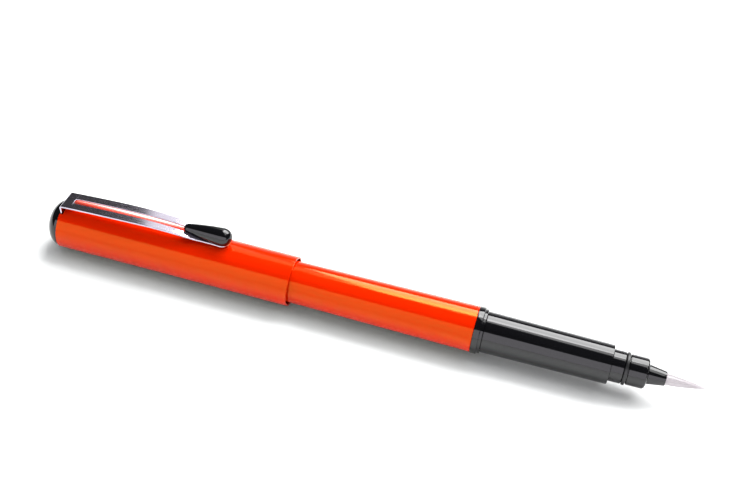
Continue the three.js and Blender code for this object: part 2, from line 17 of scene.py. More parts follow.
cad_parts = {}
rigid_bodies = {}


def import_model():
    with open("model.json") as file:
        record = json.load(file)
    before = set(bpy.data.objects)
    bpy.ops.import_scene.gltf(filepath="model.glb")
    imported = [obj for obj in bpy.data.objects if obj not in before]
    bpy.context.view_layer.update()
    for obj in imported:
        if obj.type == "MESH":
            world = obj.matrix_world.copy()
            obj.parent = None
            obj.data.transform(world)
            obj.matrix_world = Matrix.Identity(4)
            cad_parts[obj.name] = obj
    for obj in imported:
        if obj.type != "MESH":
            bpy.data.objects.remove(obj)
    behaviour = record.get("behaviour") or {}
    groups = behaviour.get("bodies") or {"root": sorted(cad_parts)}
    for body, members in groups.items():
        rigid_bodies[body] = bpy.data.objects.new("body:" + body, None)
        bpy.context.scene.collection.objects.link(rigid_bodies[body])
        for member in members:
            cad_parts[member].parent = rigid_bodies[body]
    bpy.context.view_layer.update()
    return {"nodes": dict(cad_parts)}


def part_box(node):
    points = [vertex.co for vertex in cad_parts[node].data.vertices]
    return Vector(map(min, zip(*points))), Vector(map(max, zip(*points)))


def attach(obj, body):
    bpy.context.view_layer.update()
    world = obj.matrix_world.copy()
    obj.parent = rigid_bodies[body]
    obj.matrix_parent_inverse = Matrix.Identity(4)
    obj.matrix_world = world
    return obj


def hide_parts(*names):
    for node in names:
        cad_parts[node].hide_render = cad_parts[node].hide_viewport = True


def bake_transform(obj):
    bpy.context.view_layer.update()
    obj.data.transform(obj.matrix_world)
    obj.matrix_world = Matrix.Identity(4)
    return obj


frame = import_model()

MM = 0.001
print("CAD nodes:", ", ".join(sorted(frame["nodes"])))

# %% [markdown]
# ## Where things are
#
# Every piece takes its ends, and its outer radius where it is plain, from the box of the CAD node
# it stands for. Bores, steps and walls are sizes of their own, named where they are first used.
# Lengths are in millimetres and are multiplied by MM where Blender needs metres.


# %% ends, radius and the pen's axis
def ends(node):
    low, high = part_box(node)
    return low.x / MM, high.x / MM


def radius(node):
    low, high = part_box(node)
    return (high.y - low.y) / 2 / MM


BARREL_LOW, BARREL_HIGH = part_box("barrel")
AXIS = (BARREL_LOW.z + BARREL_HIGH.z) / 2 / MM
SEAT_GAP = 0.05  # between pieces that are pressed together
SLIDE_GAP = 0.1  # between pieces that slide or turn in each other
print(f"the pen's axis is {AXIS:.2f} mm above the table")

# %% [markdown]
# ## Turning a round piece
#
# Nearly every piece is round. A lathe shape can be spun from a drawn profile, or built as a potter
# builds a wall: one ring, pushed along and made wider or narrower, again and again. The second way
# is used here, because each step is one extrude and one scale that can be followed by eye. Edges
# are then rounded by a bevel, as a mould's edges are, and weighted normals keep the long walls
# true.

# %% turn, soften and place a piece
ROUND = 96  # facets round a piece
EDGE_ANGLE = math.radians(32)  # sharper edges than this are rounded
SMOOTH_ANGLE = math.radians(50)
NORMAL_WEIGHT = 80  # how far the large faces lead the normals of a rounded edge


def select_only(piece):
    bpy.ops.object.select_all(action="DESELECT")
    piece.select_set(True)
    bpy.context.view_layer.objects.active = piece


def select_open_edges():
    bpy.ops.mesh.select_mode(type="EDGE")
    bpy.ops.mesh.select_all(action="DESELECT")
    bpy.ops.mesh.select_non_manifold(
        extend=False,
        use_wire=False,
        use_multi_face=False,
        use_non_contiguous=False,
        use_verts=False,
    )


def push(step, scale, x, height):
    bpy.ops.mesh.extrude_region_move(TRANSFORM_OT_translate={"value": (step * MM, 0, 0)})
    centre = (x * MM, 0, height * MM)
    bpy.ops.transform.resize(value=(1, scale, scale), center_override=centre)


def close_to_point(step):
    bpy.ops.mesh.extrude_region_move(TRANSFORM_OT_translate={"value": (step * MM, 0, 0)})
    bpy.ops.mesh.merge(type="CENTER")


def turn(name, profile, sides=ROUND, height=None):
    """profile is a list of (x, radius). Both ends are on the axis, or its end joins its start."""
    height = AXIS if height is None else height
    solid = profile[0][1] == 0
    rings = profile[1:-1] if solid else profile
    start, first = rings[0]
    bpy.ops.object.select_all(action="DESELECT")
    bpy.ops.mesh.primitive_circle_add(
        vertices=sides,
        radius=first * MM,
        location=(start * MM, 0, height * MM),
        rotation=(0, math.pi / 2, 0),
    )
    piece = bpy.context.active_object
    piece.name = name
    bpy.ops.object.transform_apply()
    bpy.ops.object.mode_set(mode="EDIT")
    bpy.ops.mesh.select_mode(type="EDGE")
    bpy.ops.mesh.select_all(action="SELECT")
    for (x0, r0), (x1, r1) in zip(rings, rings[1:]):
        push(x1 - x0, r1 / r0, x1, height)
    if solid:
        close_to_point(profile[-1][0] - rings[-1][0])
        select_open_edges()
        close_to_point(profile[0][0] - start)
    else:
        select_open_edges()
        bpy.ops.mesh.bridge_edge_loops()
    bpy.ops.mesh.select_all(action="SELECT")
    bpy.ops.mesh.normals_make_consistent(inside=False)
    bpy.ops.object.mode_set(mode="OBJECT")
    return piece


def apply_modifier(piece, kind, **settings):
    select_only(piece)
    modifier = piece.modifiers.new(kind.title(), kind)
    for key, value in settings.items():
        setattr(modifier, key, value)
    bpy.ops.object.modifier_apply(modifier=modifier.name)


def soften(piece, width, steps=3):
    """Rounds the sharp edges and shades the piece smooth."""
    apply_modifier(
        piece,
        "BEVEL",
        width=width * MM,
        segments=steps,
        limit_method="ANGLE",
        angle_limit=EDGE_ANGLE,
    )
    select_only(piece)
    bpy.ops.object.shade_smooth_by_angle(angle=SMOOTH_ANGLE)
    apply_modifier(piece, "WEIGHTED_NORMAL", keep_sharp=True, weight=NORMAL_WEIGHT)
    return piece


def arc(x, r, along, out, start, end, steps):
    """Points of an elliptic arc round (x, r). Angle 0 points towards the tip and 90 outwards."""
    angles = np.radians(np.linspace(start, end, steps + 1))
    return [(x + along * math.cos(a), r + out * math.sin(a)) for a in angles]


def place(piece, body, slot, *nodes):
    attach(piece, body)
    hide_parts(*nodes)
    faces = len(piece.data.polygons)
    print(f"{piece.name}: {faces} faces on {body}")
    return piece


print(f"round pieces have {ROUND} facets")

# %% [markdown]
# ## Making a material
#
# A finish is a small graph of nodes. One function adds a node, sets it up and links it, so that
# each material below reads as a list of what its surface does. Colours are written as sRGB hex
# values, as a colour picker gives them, and turned to linear light once.


# %% nodes, colours and materials
def linear(hex_colour):
    """An sRGB hex colour as linear RGBA."""
    channels = [int(hex_colour[i : i + 2], 16) / 255 for i in (1, 3, 5)]
    light = [c / 12.92 if c <= 0.04045 else ((c + 0.055) / 1.055) ** 2.4 for c in channels]
    return (*light, 1.0)


def add_node(owner, kind, sockets=None, **settings):
    """Adds a node to a material or world. A socket takes a value, or an output to link from."""
    made = owner.node_tree.nodes.new("ShaderNode" + kind)
    for key, value in settings.items():
        setattr(made, key, value)
    for key, value in (sockets or {}).items():
        if isinstance(value, bpy.types.NodeSocket):
            owner.node_tree.links.new(value, made.inputs[key])
        else:
            made.inputs[key].default_value = value
    return made


def new_material(name):
    material = bpy.data.materials.new(name)
    material.use_nodes = True
    material.node_tree.nodes.clear()
    return material


def along_pen(material, length, across):
    """Object coordinates in units of length along the pen and across it, both in millimetres."""
    place_node = add_node(material, "TexCoord")
    scale = (1 / (length * MM), 1 / (across * MM), 1 / (across * MM))
    mapping = add_node(
        material, "Mapping", {"Vector": place_node.outputs["Object"], "Scale": scale}
    )
    return mapping.outputs["Vector"]


def finish_material(material, shader):
    output = add_node(material, "OutputMaterial", {"Surface": shader.outputs["BSDF"]})
    print(f"{material.name}: {len(material.node_tree.nodes)} nodes, ends in {output.name}")
    return material


def dress(piece, material):
    piece.data.materials.clear()
    piece.data.materials.append(material)


print("a mid grey in linear light is", round(linear("#808080")[0], 3))

# %% [markdown]
# ## Polished mouldings
#
# The barrel and cap are injection-moulded styrene, cast against a polished mould, so their skin is
# nearly a mirror. What breaks the mirror up is very small: flow marks that run along the moulding
# change the colour by a few hundredths, handling leaves hairlines along the pen, and the wall is a
# few microns out of true. A noise stretched along the pen gives the flow marks, a finer one the
# hairlines, and a broad shallow bump the waviness. Orange and black differ only in colour, so one
# function makes both. Specular tint warms the reflection of the orange plastic.
#
# Light that bounces off the pigment would colour the paper beneath. A light path node gives those
# bounces a neutral grey instead, so the shadow stays grey. That is a choice of look and not a
# property of the plastic.

# %% polished orange and black styrene
FLOW_LENGTH = 30.0  # mm, flow marks from the mould's gate
FLOW_WIDTH = 2.5
HAIRLINE_LENGTH = 9.0  # mm, drawn a little coarser than real ones so that they show
HAIRLINE_WIDTH = 0.12
WAVE_LENGTH = 14.0  # mm, waviness of the wall
WAVE_WIDTH = 5.0
BOUNCE_GREY = "#8c8a8a"


def polished_moulding(name, colour, flow_colour, roughness, tint):
    material = new_material(name)
    flow = add_node(
        material,
        "TexNoise",
        {"Vector": along_pen(material, FLOW_LENGTH, FLOW_WIDTH), "Scale": 1.0, "Detail": 3.0},
    )
    colours = add_node(material, "ValToRGB", {"Fac": flow.outputs["Fac"]})
    colours.color_ramp.elements[0].position = 0.35
    colours.color_ramp.elements[0].color = linear(flow_colour)
    colours.color_ramp.elements[1].position = 0.65
    colours.color_ramp.elements[1].color = linear(colour)
    hairlines = add_node(
        material,
        "TexNoise",
        {
            "Vector": along_pen(material, HAIRLINE_LENGTH, HAIRLINE_WIDTH),
            "Scale": 1.0,
            "Detail": 4.0,
            "Roughness": 0.6,
        },
    )
    gloss = add_node(
        material,
        "MapRange",
        {
            "Value": hairlines.outputs["Fac"],
            "From Min": 0.45,
            "From Max": 0.8,
            "To Min": roughness,
            "To Max": roughness + 0.1,
        },
    )
    wave = add_node(
        material,
        "TexNoise",
        {"Vector": along_pen(material, WAVE_LENGTH, WAVE_WIDTH), "Scale": 1.0, "Detail": 1.0},
    )
    bump = add_node(
        material,
        "Bump",
        {"Height": wave.outputs["Fac"], "Strength": 0.25, "Distance": 0.02 * MM},
    )
    path = add_node(material, "LightPath")
    # Sockets 0, 6 and 7 of a colour mix are its factor and its two colours.
    kept = add_node(
        material,
        "Mix",
        {0: path.outputs["Is Diffuse Ray"], 6: colours.outputs["Color"], 7: linear(BOUNCE_GREY)},
        data_type="RGBA",
    )
    shader = add_node(
        material,
        "BsdfPrincipled",
        {
            "Base Color": kept.outputs[2],
            "Roughness": gloss.outputs["Result"],
            "Normal": bump.outputs["Normal"],
            "IOR": 1.55,
            "Specular Tint": linear(tint),
        },
    )
    return finish_material(material, shader)


# Orange styrene: the barrel and the cap, with a warm reflection.
ORANGE_STYRENE = polished_moulding("polished_orange_styrene", "#ea2400", "#e62100", 0.07, "#ffe15c")
# Black styrene: the crown, bulb, collar, grip, nose and ferrule.
BLACK_STYRENE = polished_moulding("polished_black_styrene", "#08080b", "#0b0b0e", 0.06, "#ffffff")

# %% [markdown]
# ## Chromed steel
#
# The clip is spring steel with bright chrome plating. Chrome is a metal, so its colour lives in its
# reflection, a little darker and cooler than silver, and the drawing of the strip leaves hairlines
# along it under the plating.

# %% chromed spring steel
DRAW_LENGTH = 12.0  # mm, drawing lines under the plating
DRAW_WIDTH = 0.15


def chromed_steel():
    material = new_material("chromed_spring_steel")
    drawn = add_node(
        material,
        "TexNoise",
        {
            "Vector": along_pen(material, DRAW_LENGTH, DRAW_WIDTH),
            "Scale": 1.0,
            "Detail": 4.0,
            "Roughness": 0.65,
        },
    )
    gloss = add_node(
        material,
        "MapRange",
        {
            "Value": drawn.outputs["Fac"],
            "From Min": 0.3,
            "From Max": 0.75,
            "To Min": 0.1,
            "To Max": 0.24,
        },
    )
    bump = add_node(
        material,
        "Bump",
        {"Height": drawn.outputs["Fac"], "Strength": 0.2, "Distance": 0.004 * MM},
    )
    tone = add_node(material, "ValToRGB", {"Fac": drawn.outputs["Fac"]})
    tone.color_ramp.elements[0].color = linear("#b5aebf")
    tone.color_ramp.elements[1].color = linear("#d6d0dc")
    shader = add_node(
        material,
        "BsdfPrincipled",
        {
            "Base Color": tone.outputs["Color"],
            "Metallic": 1.0,
            "Roughness": gloss.outputs["Result"],
            "Normal": bump.outputs["Normal"],
        },
    )
    return finish_material(material, shader)


# Spring steel with bright chrome plating: the clip.
CHROME = chromed_steel()

# %% [markdown]
# ## Plastics that are not polished, rubber, ink and nylon
#
# The inner cap and the ink feed are soft-looking polyethylene and ABS straight from a blasted
# mould, the sealing ring is rubber, and the cartridge is natural polypropylene, which lets light
# through but nothing sharp. They share one recipe: a fine grain in the bump, a cloudy change of
# roughness, and scattering or transmission where light gets in.

# %% grained plastics, rubber, ink, fibre and nylon
GRAIN = 0.12  # mm, blasted mould texture, drawn about twice as coarse as it is
CLOUD = 3.0  # mm, slow change of gloss and shade


def grained(name, colour, shade, roughness, grain_depth, **surface):
    material = new_material(name)
    grain = add_node(
        material,
        "TexNoise",
        {"Vector": along_pen(material, GRAIN, GRAIN), "Scale": 1.0, "Detail": 3.0},
    )
    cloud = add_node(
        material,
        "TexNoise",
        {"Vector": along_pen(material, CLOUD, CLOUD), "Scale": 1.0, "Detail": 3.0},
    )
    colours = add_node(material, "ValToRGB", {"Fac": cloud.outputs["Fac"]})
    colours.color_ramp.elements[0].color = linear(shade)
    colours.color_ramp.elements[1].color = linear(colour)
    gloss = add_node(
        material,
        "MapRange",
        {"Value": cloud.outputs["Fac"], "To Min": roughness - 0.06, "To Max": roughness + 0.06},
    )
    bump = add_node(
        material,
        "Bump",
        {"Height": grain.outputs["Fac"], "Strength": 0.4, "Distance": grain_depth * MM},
    )
    sockets = {
        "Base Color": colours.outputs["Color"],
        "Roughness": gloss.outputs["Result"],
        "Normal": bump.outputs["Normal"],
        **surface,
    }
    return finish_material(material, add_node(material, "BsdfPrincipled", sockets))


# Natural polyethylene: milky and a little waxy, the inner cap.
LINER_POLYETHYLENE = grained(
    "natural_polyethylene", "#e9e9e2", "#e0e0d8", 0.42, 0.01,
    **{"Subsurface Weight": 0.4, "Subsurface Scale": 1.0 * MM, "IOR": 1.51},
)
# Nitrile rubber: black and half dull, the sealing ring.
SEAL_RUBBER = grained("nitrile_seal_rubber", "#121214", "#0c0c0e", 0.38, 0.01, **{"IOR": 1.52})
# ABS: grey, the ink feed.
FEED_ABS = grained("feed_abs", "#b9bcc0", "#aeb1b6", 0.45, 0.01, **{"IOR": 1.54})
# Natural polypropylene: hazy and see-through, the cartridge, its ball and the feed tube.
CLEAR_POLYPROPYLENE = grained(
    "natural_polypropylene", "#eef2f3", "#e2e8ea", 0.25, 0.004,
    **{"Transmission Weight": 0.75, "IOR": 1.49},
)
# Pigment ink: wet, so it is smooth and glossy.
WET_INK = grained("wet_pigment_ink", "#060608", "#0a0a0d", 0.12, 0.002, **{"IOR": 1.34})
# Bonded polyester fibre: white and dull, the wick.
WICK_FIBRE = grained("wick_fibre", "#efeeea", "#dedcd6", 0.7, 0.03, **{"IOR": 1.53})
# Drawn nylon: the bristles and their root. Light crosses hundreds of clear filaments, and a faint
# painted glow, an emission from filaments that are no lamp, stands in for that scattering.
TUFT_PAINTED_GLOW = 0.12
NYLON = grained(
    "drawn_nylon_filament", "#fdfafc", "#f2eef1", 0.3, 0.003,
    **{"Subsurface Weight": 1.0, "Subsurface Radius": (1.0, 1.0, 1.0),
       "Subsurface Scale": 1.5 * MM, "IOR": 1.53,
       "Emission Color": linear("#f6eff4"), "Emission Strength": TUFT_PAINTED_GLOW},
)

# %% [markdown]
# ## The barrel
#
# The barrel is a closed tube. Its outside is two straight stretches: the body, which shrinks very
# slightly towards the tail, and a rounded tail that hides in the posted cap. Inside it has a female
# screw thread. The wall is turned in one profile that runs forwards outside and back inside.

# %% the barrel's wall
BARREL_TAIL, BARREL_MOUTH = ends("barrel")
BARREL_RADIUS = 5.56
TAIL_RADIUS = 4.9
TAIL_ROUND = 0.9
TAIL_FLOOR = 1.8
TAIL_BORE = 3.25
THREAD_CLEARANCE = 0.12
THREAD_CREST = 4.35  # top of the grip's thread
THREAD_CORE = 3.95  # foot of the grip's thread
THREAD_PITCH = 1.5
THREAD_LENGTH = 7.6
BORE_STEP = 0.4  # length of the step from the thread's bore to the barrel's
CARTRIDGE_PLAY = 0.35
STOP_GAP = 0.2  # behind a cartridge that is pushed home
CARTRIDGE_BACK, CARTRIDGE_FRONT = ends("cartridge_shell")
BORE = radius("cartridge_shell") + CARTRIDGE_PLAY

barrel = turn(
    "barrel_tube",
    [
        (BARREL_TAIL, 0),
        *arc(
            BARREL_TAIL + TAIL_ROUND,
            TAIL_RADIUS - TAIL_ROUND,
            TAIL_ROUND,
            TAIL_ROUND,
            178,
            90,
            6,
        ),
        ((BARREL_TAIL + BARREL_MOUTH) / 2, (TAIL_RADIUS + BARREL_RADIUS) / 2),
        (BARREL_MOUTH, BARREL_RADIUS),
        (BARREL_MOUTH, THREAD_CREST + THREAD_CLEARANCE),
        (BARREL_MOUTH - THREAD_LENGTH, THREAD_CREST + THREAD_CLEARANCE),
        (BARREL_MOUTH - THREAD_LENGTH - BORE_STEP, BORE),
        (CARTRIDGE_BACK - STOP_GAP, BORE),
        (CARTRIDGE_BACK - STOP_GAP, TAIL_BORE),
        (BARREL_TAIL + TAIL_FLOOR, TAIL_BORE),
        (BARREL_TAIL + TAIL_FLOOR, 0),
    ],
)
print(f"the barrel is {BARREL_MOUTH - BARREL_TAIL:.1f} mm long, its bore {2 * BORE:.1f} mm across")

# %% [markdown]
# ## Screw threads
#
# A thread is one small trapezium carried round the axis and along it. The Screw modifier does just
# that, so the trapezium is drawn as a plane standing on the wall, screwed round, closed at its two
# ends and joined to the moulding it grows from. The barrel's ridge sits half a pitch away from the
# grip's, in the gap between its turns.


# %% a thread, and the barrel's own
THREAD_STEPS = 48  # facets in one turn


def thread(name, start, turns, foot, top, base, crest):
    """A helical ridge, base wide at the radius foot and crest wide at the radius top."""
    bpy.ops.object.select_all(action="DESELECT")
    bpy.ops.mesh.primitive_plane_add(size=1, location=(start * MM, 0, AXIS * MM))
    piece = bpy.context.active_object
    piece.name = name
    outline = [(-base / 2, foot), (base / 2, foot), (crest / 2, top), (-crest / 2, top)]
    order = [0, 1, 3, 2]  # the plane's own corners run this way round
    for corner, (x, r) in zip(order, outline):
        piece.data.vertices[corner].co = (x * MM, r * MM, 0)
    bpy.ops.object.mode_set(mode="EDIT")
    bpy.ops.mesh.select_all(action="SELECT")
    bpy.ops.mesh.delete(type="ONLY_FACE")
    bpy.ops.object.mode_set(mode="OBJECT")
    apply_modifier(
        piece,
        "SCREW",
        axis="X",
        angle=turns * 2 * math.pi,
        screw_offset=turns * THREAD_PITCH * MM,
        steps=round(turns * THREAD_STEPS),
        render_steps=round(turns * THREAD_STEPS),
    )
    bpy.ops.object.mode_set(mode="EDIT")
    select_open_edges()
    bpy.ops.mesh.edge_face_add()
    bpy.ops.mesh.select_all(action="SELECT")
    bpy.ops.mesh.remove_doubles(threshold=0.002 * MM)
    bpy.ops.mesh.normals_make_consistent(inside=False)
    bpy.ops.object.mode_set(mode="OBJECT")
    bpy.ops.object.transform_apply()
    return piece


def join(piece, *others):
    select_only(piece)
    for other in others:
        other.select_set(True)
    bpy.ops.object.join()
    return piece


THREAD_SETBACK = 6.3  # from the barrel's mouth to the middle of the grip's first turn
THREAD_START = BARREL_MOUTH - THREAD_SETBACK
BURIED = 0.1  # how far a ridge's foot goes into its wall
BARREL_TURNS = 3.2
BARREL_RIDGE_BASE = 0.45
BARREL_RIDGE_CREST = 0.25
barrel_thread = thread(
    "barrel_thread",
    THREAD_START + THREAD_PITCH / 2,
    BARREL_TURNS,
    foot=THREAD_CREST + THREAD_CLEARANCE + BURIED,
    top=THREAD_CORE + THREAD_CLEARANCE,
    base=BARREL_RIDGE_BASE,
    crest=BARREL_RIDGE_CREST,
)
soften(barrel, 0.12)
join(barrel, barrel_thread)
dress(barrel, ORANGE_STYRENE)
place(barrel, "barrel", "orange_plastic", "barrel")

# %% [markdown]
# ## The cap
#
# The cap's shell is a plain tube with a thin lip at its mouth, where it snaps over the collar, and
# a narrower bore further in that grips the barrel's tail. A short slot is punched through its
# closed end for the clip's foot. A Boolean cutter makes it, as a core in the mould does. The crown
# plugs that end with a flattened dome.

# %% the cap and the clip's slot
CAP_END, CAP_MOUTH = ends("cap_shell")
CAP_RADIUS = radius("cap_shell")
CAP_LIP = 0.42
CAP_WALL = 0.9
LIP_DEPTH = 2.5
LIP_STEP = 0.5  # length of the step behind the lip
POST_GRIP = 3.5  # how much of the barrel's tail the narrow bore grips
POST_STEP = 0.6
POST_BORE = TAIL_RADIUS + SLIDE_GAP

cap = turn(
    "cap_tube",
    [
        (CAP_END, CAP_RADIUS),
        (CAP_MOUTH, CAP_RADIUS),
        (CAP_MOUTH, CAP_RADIUS - CAP_LIP),
        (CAP_MOUTH - LIP_DEPTH, CAP_RADIUS - CAP_LIP),
        (CAP_MOUTH - LIP_DEPTH - LIP_STEP, CAP_RADIUS - CAP_WALL),
        (BARREL_TAIL + POST_GRIP + POST_STEP, CAP_RADIUS - CAP_WALL),
        (BARREL_TAIL + POST_GRIP, POST_BORE),
        (CAP_END, POST_BORE),
    ],
)

CLIP_BACK, CLIP_TIP = ends("clip_strip")
CLIP_LOW, CLIP_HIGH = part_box("clip_strip")
CLIP_THICKNESS = 0.45
FOOT_BOTTOM = CLIP_LOW.z / MM
FOOT_INSET = 0.3
FOOT_X = CAP_END + FOOT_INSET + CLIP_THICKNESS / 2
CLIP_ROOT_HALF = 3.0
FOOT_PLAY = 0.15
CUT_OVERRUN = 0.04
CUT_TOP = 2.5 * AXIS  # well above the cap


def foot_cutter():
    bpy.ops.object.select_all(action="DESELECT")
    low = Vector((CAP_END - CUT_OVERRUN, -CLIP_ROOT_HALF - FOOT_PLAY, FOOT_BOTTOM - FOOT_PLAY))
    high = Vector((FOOT_X + CLIP_THICKNESS / 2 + FOOT_PLAY, -low.y, CUT_TOP))
    middle = (low + high) / 2 * MM
    bpy.ops.mesh.primitive_cube_add(size=1, location=middle, scale=(high - low) * MM)
    bpy.ops.object.transform_apply()
    return bpy.context.active_object


def cut(piece, cutter):
    apply_modifier(piece, "BOOLEAN", operation="DIFFERENCE", object=cutter, solver="EXACT")
    bpy.data.objects.remove(cutter)


cut(cap, foot_cutter())
soften(cap, 0.13)
dress(cap, ORANGE_STYRENE)
place(cap, "cap", "orange_plastic", "cap_shell")

# %% the crown
CROWN_APEX, CROWN_STEM_END = ends("cap_crown")
CROWN_SEAT = CAP_END - SEAT_GAP
CROWN_INSET = 0.22
CROWN_SKIRT = 0.25  # the straight stretch under the dome
CROWN_TUCK = 0.05
CROWN_RADIUS = CAP_RADIUS - CROWN_INSET
CROWN_STEM = POST_BORE - SEAT_GAP
dome = arc(CROWN_SEAT, 0, CROWN_SEAT - CROWN_APEX, CROWN_RADIUS, 178, 96, 22)
crown = turn(
    "crown_dome",
    [
        (CROWN_APEX, 0),
        *dome,
        (CROWN_SEAT - CROWN_SKIRT, CROWN_RADIUS),
        (CROWN_SEAT, CROWN_RADIUS - CROWN_TUCK),
        (CROWN_SEAT, CROWN_STEM),
        (CROWN_STEM_END, CROWN_STEM),
        (CROWN_STEM_END, 0),
    ],
)
cut(crown, foot_cutter())
soften(crown, 0.08)
dress(crown, BLACK_STYRENE)
place(crown, "cap", "black_plastic", "cap_crown")

# %% [markdown]
# ## The inner cap
#
# A milky cup that seals on the nose's ring. It is moulded by itself and pushed into the cap, so it
# is one turned cup with a flared mouth and no ribs.

# %% the inner cap
LINER_CLOSED, LINER_OPEN = ends("inner_cap")
LINER_FIT = 0.06
LINER_OUTER = POST_BORE - LINER_FIT
LINER_SEAL = 4.0
LINER_FLARE = 0.6
LINER_ROOT = 0.3  # the chamfer between its wall and its floor
liner = turn(
    "inner_cap_cup",
    [
        (LINER_CLOSED, 0),
        (LINER_CLOSED, LINER_OUTER),
        (LINER_OPEN, LINER_OUTER),
        (LINER_OPEN, LINER_SEAL + LINER_FLARE),
        (LINER_OPEN - LINER_FLARE, LINER_SEAL),
        (LINER_CLOSED + LINER_FLARE, LINER_SEAL),
        (LINER_CLOSED + LINER_FLARE + LINER_ROOT, LINER_SEAL - LINER_FLARE),
        (LINER_CLOSED + LINER_FLARE + LINER_ROOT, 0),
    ],
)
soften(liner, 0.1)
dress(liner, LINER_POLYETHYLENE)
place(liner, "cap", "liner_plastic", "inner_cap")

# %% [markdown]
# ## The clip
#
# A real clip is blanked flat from sheet, slotted, and then folded and arched in a press. It is made
# the same way here. A flat grid is given the outline of the blank, row by row, with the slot's
# round ends, the middle faces are taken out, and the sheet gets its thickness and rounded edges.
# Then every point is carried onto the folded line: up the foot, round the bend and along the arch.

# %% the clip's sizes and its folded line
CLIP_SHORT = 0.5  # the strip ends this far short of its node, inside the bulb
CLIP_REACH = CLIP_TIP - CLIP_BACK - CLIP_SHORT
MIDDLE_HALF = 3.05
TAPER_HALF = 2.62
NOSE_HALF = 1.75
SLOT_HALF = 0.9
SLOT_START = 3.4  # from the back of the strip
BULB_BACK, BULB_FRONT = ends("clip_bulb")
SLOT_UNDER_BULB = 0.9
SLOT_END = BULB_BACK - CLIP_BACK + SLOT_UNDER_BULB
BEND_RADIUS = 0.42
BEND_POINTS = 9
HEEL_BULGE = 0.1  # how far the bend stands out behind the foot
HEEL_DROP = 0.02
ARCH_START = 1.2  # from the back of the strip
ARCH_POINTS = 90
REST_HEIGHT = 2 * AXIS + SEAT_GAP + CLIP_THICKNESS / 2 + (CAP_RADIUS - AXIS)
RISE = CLIP_HIGH.z / MM - CLIP_THICKNESS / 2 - REST_HEIGHT
# The arch: how far along the strip, and the share of its full rise.
ARCH = [(0.5, 0.5), (7, 0.72), (15, 0.92), (25, 1.0), (31, 0.78), (36, 0.34), (40, 0.12)]
ARCH.append((CLIP_REACH, 0.08))


def smooth(points, at):
    """A smooth line through points, read at one place: a Catmull-Rom curve."""
    xs = [p[0] for p in points]
    ys = [p[1] for p in points]
    slopes = np.gradient(np.array(ys), np.array(xs))
    at = min(max(at, xs[0]), xs[-1])
    i = min(int(np.searchsorted(xs, at, side="right")) - 1, len(xs) - 2)
    step = xs[i + 1] - xs[i]
    t = (at - xs[i]) / step
    rest = (1 + 2 * t) * (1 - t) ** 2 * ys[i] + t * t * (3 - 2 * t) * ys[i + 1]
    return rest + step * (t * (1 - t) ** 2 * slopes[i] + t * t * (t - 1) * slopes[i + 1])


def arch_height(along):
    return REST_HEIGHT + RISE * smooth(ARCH, along)


def folded_line():
    """Points of the strip's middle line, from the foot's bottom to the free end."""
    corner_x = CLIP_BACK + CLIP_THICKNESS / 2 - HEEL_BULGE
    top = arch_height(ARCH[0][0])
    line = [(FOOT_X, FOOT_BOTTOM)]
    for angle in np.radians(np.linspace(180, 90, BEND_POINTS)):
        x = corner_x + BEND_RADIUS * (1 + math.cos(angle))
        line.append((x, top - BEND_RADIUS * (1 - math.sin(angle)) - HEEL_DROP))
    for along in np.linspace(ARCH_START, CLIP_REACH, ARCH_POINTS):
        line.append((CLIP_BACK + along, arch_height(along)))
    return np.array(line)


LINE = folded_line()
STEPS = np.hypot(*np.diff(LINE, axis=0).T)
ALONG = np.concatenate([[0], np.cumsum(STEPS)])
STRIP_LENGTH = ALONG[-1]
ARCH_LINE = LINE[BEND_POINTS + 1 :, 0]
ARCH_ALONG = ALONG[BEND_POINTS + 1 :]
FOOT_LENGTH = float(np.interp(CLIP_BACK + ARCH_START, ARCH_LINE, ARCH_ALONG)) - ARCH_START
print(f"the blank is {STRIP_LENGTH:.1f} mm long, {FOOT_LENGTH:.1f} mm of it in the foot")


def fold(piece):
    """Carries a flat piece, x along the blank and z through it, onto the folded line."""
    count = len(piece.data.vertices)
    points = np.empty(count * 3, np.float64)
    piece.data.vertices.foreach_get("co", points)
    points = points.reshape(-1, 3) / MM
    place_x = np.interp(points[:, 0], ALONG, LINE[:, 0])
    place_z = np.interp(points[:, 0], ALONG, LINE[:, 1])
    near = 0.12  # the slope is read over this much of the line to each side
    ahead_x = np.interp(points[:, 0] + near, ALONG, LINE[:, 0])
    ahead_z = np.interp(points[:, 0] + near, ALONG, LINE[:, 1])
    behind_x = np.interp(points[:, 0] - near, ALONG, LINE[:, 0])
    behind_z = np.interp(points[:, 0] - near, ALONG, LINE[:, 1])
    angle = np.arctan2(ahead_z - behind_z, ahead_x - behind_x)
    folded = np.stack(
        [
            place_x - points[:, 2] * np.sin(angle),
            points[:, 1],
            place_z + points[:, 2] * np.cos(angle),
        ],
        axis=1,
    )
    piece.data.vertices.foreach_set("co", (folded * MM).ravel())
    piece.data.update()


# %% the clip's blank, folded
SLOT_A = FOOT_LENGTH + SLOT_START
SLOT_B = FOOT_LENGTH + SLOT_END
ROUND_STEPS = 7
ROUND_TURN = math.radians(78)  # how far a round end runs before it is cut straight
SLOT_REACH = SLOT_HALF * math.sin(ROUND_TURN)
FOOT_ROWS = 4
HEEL_ROWS = 5
SLOT_ROWS = 64
NOSE_ROWS = 14
INNER_SHARE = 0.2  # where the inner columns run when there is no slot between them
NOSE_CENTRE = STRIP_LENGTH - NOSE_HALF
OUTLINE = [
    (0, CLIP_ROOT_HALF),
    (FOOT_LENGTH, CLIP_ROOT_HALF),
    (FOOT_LENGTH + CLIP_REACH / 2, MIDDLE_HALF),
    (FOOT_LENGTH + CLIP_REACH * 0.75, TAPER_HALF),
    (NOSE_CENTRE - NOSE_HALF, NOSE_HALF),
    (NOSE_CENTRE, NOSE_HALF),
]


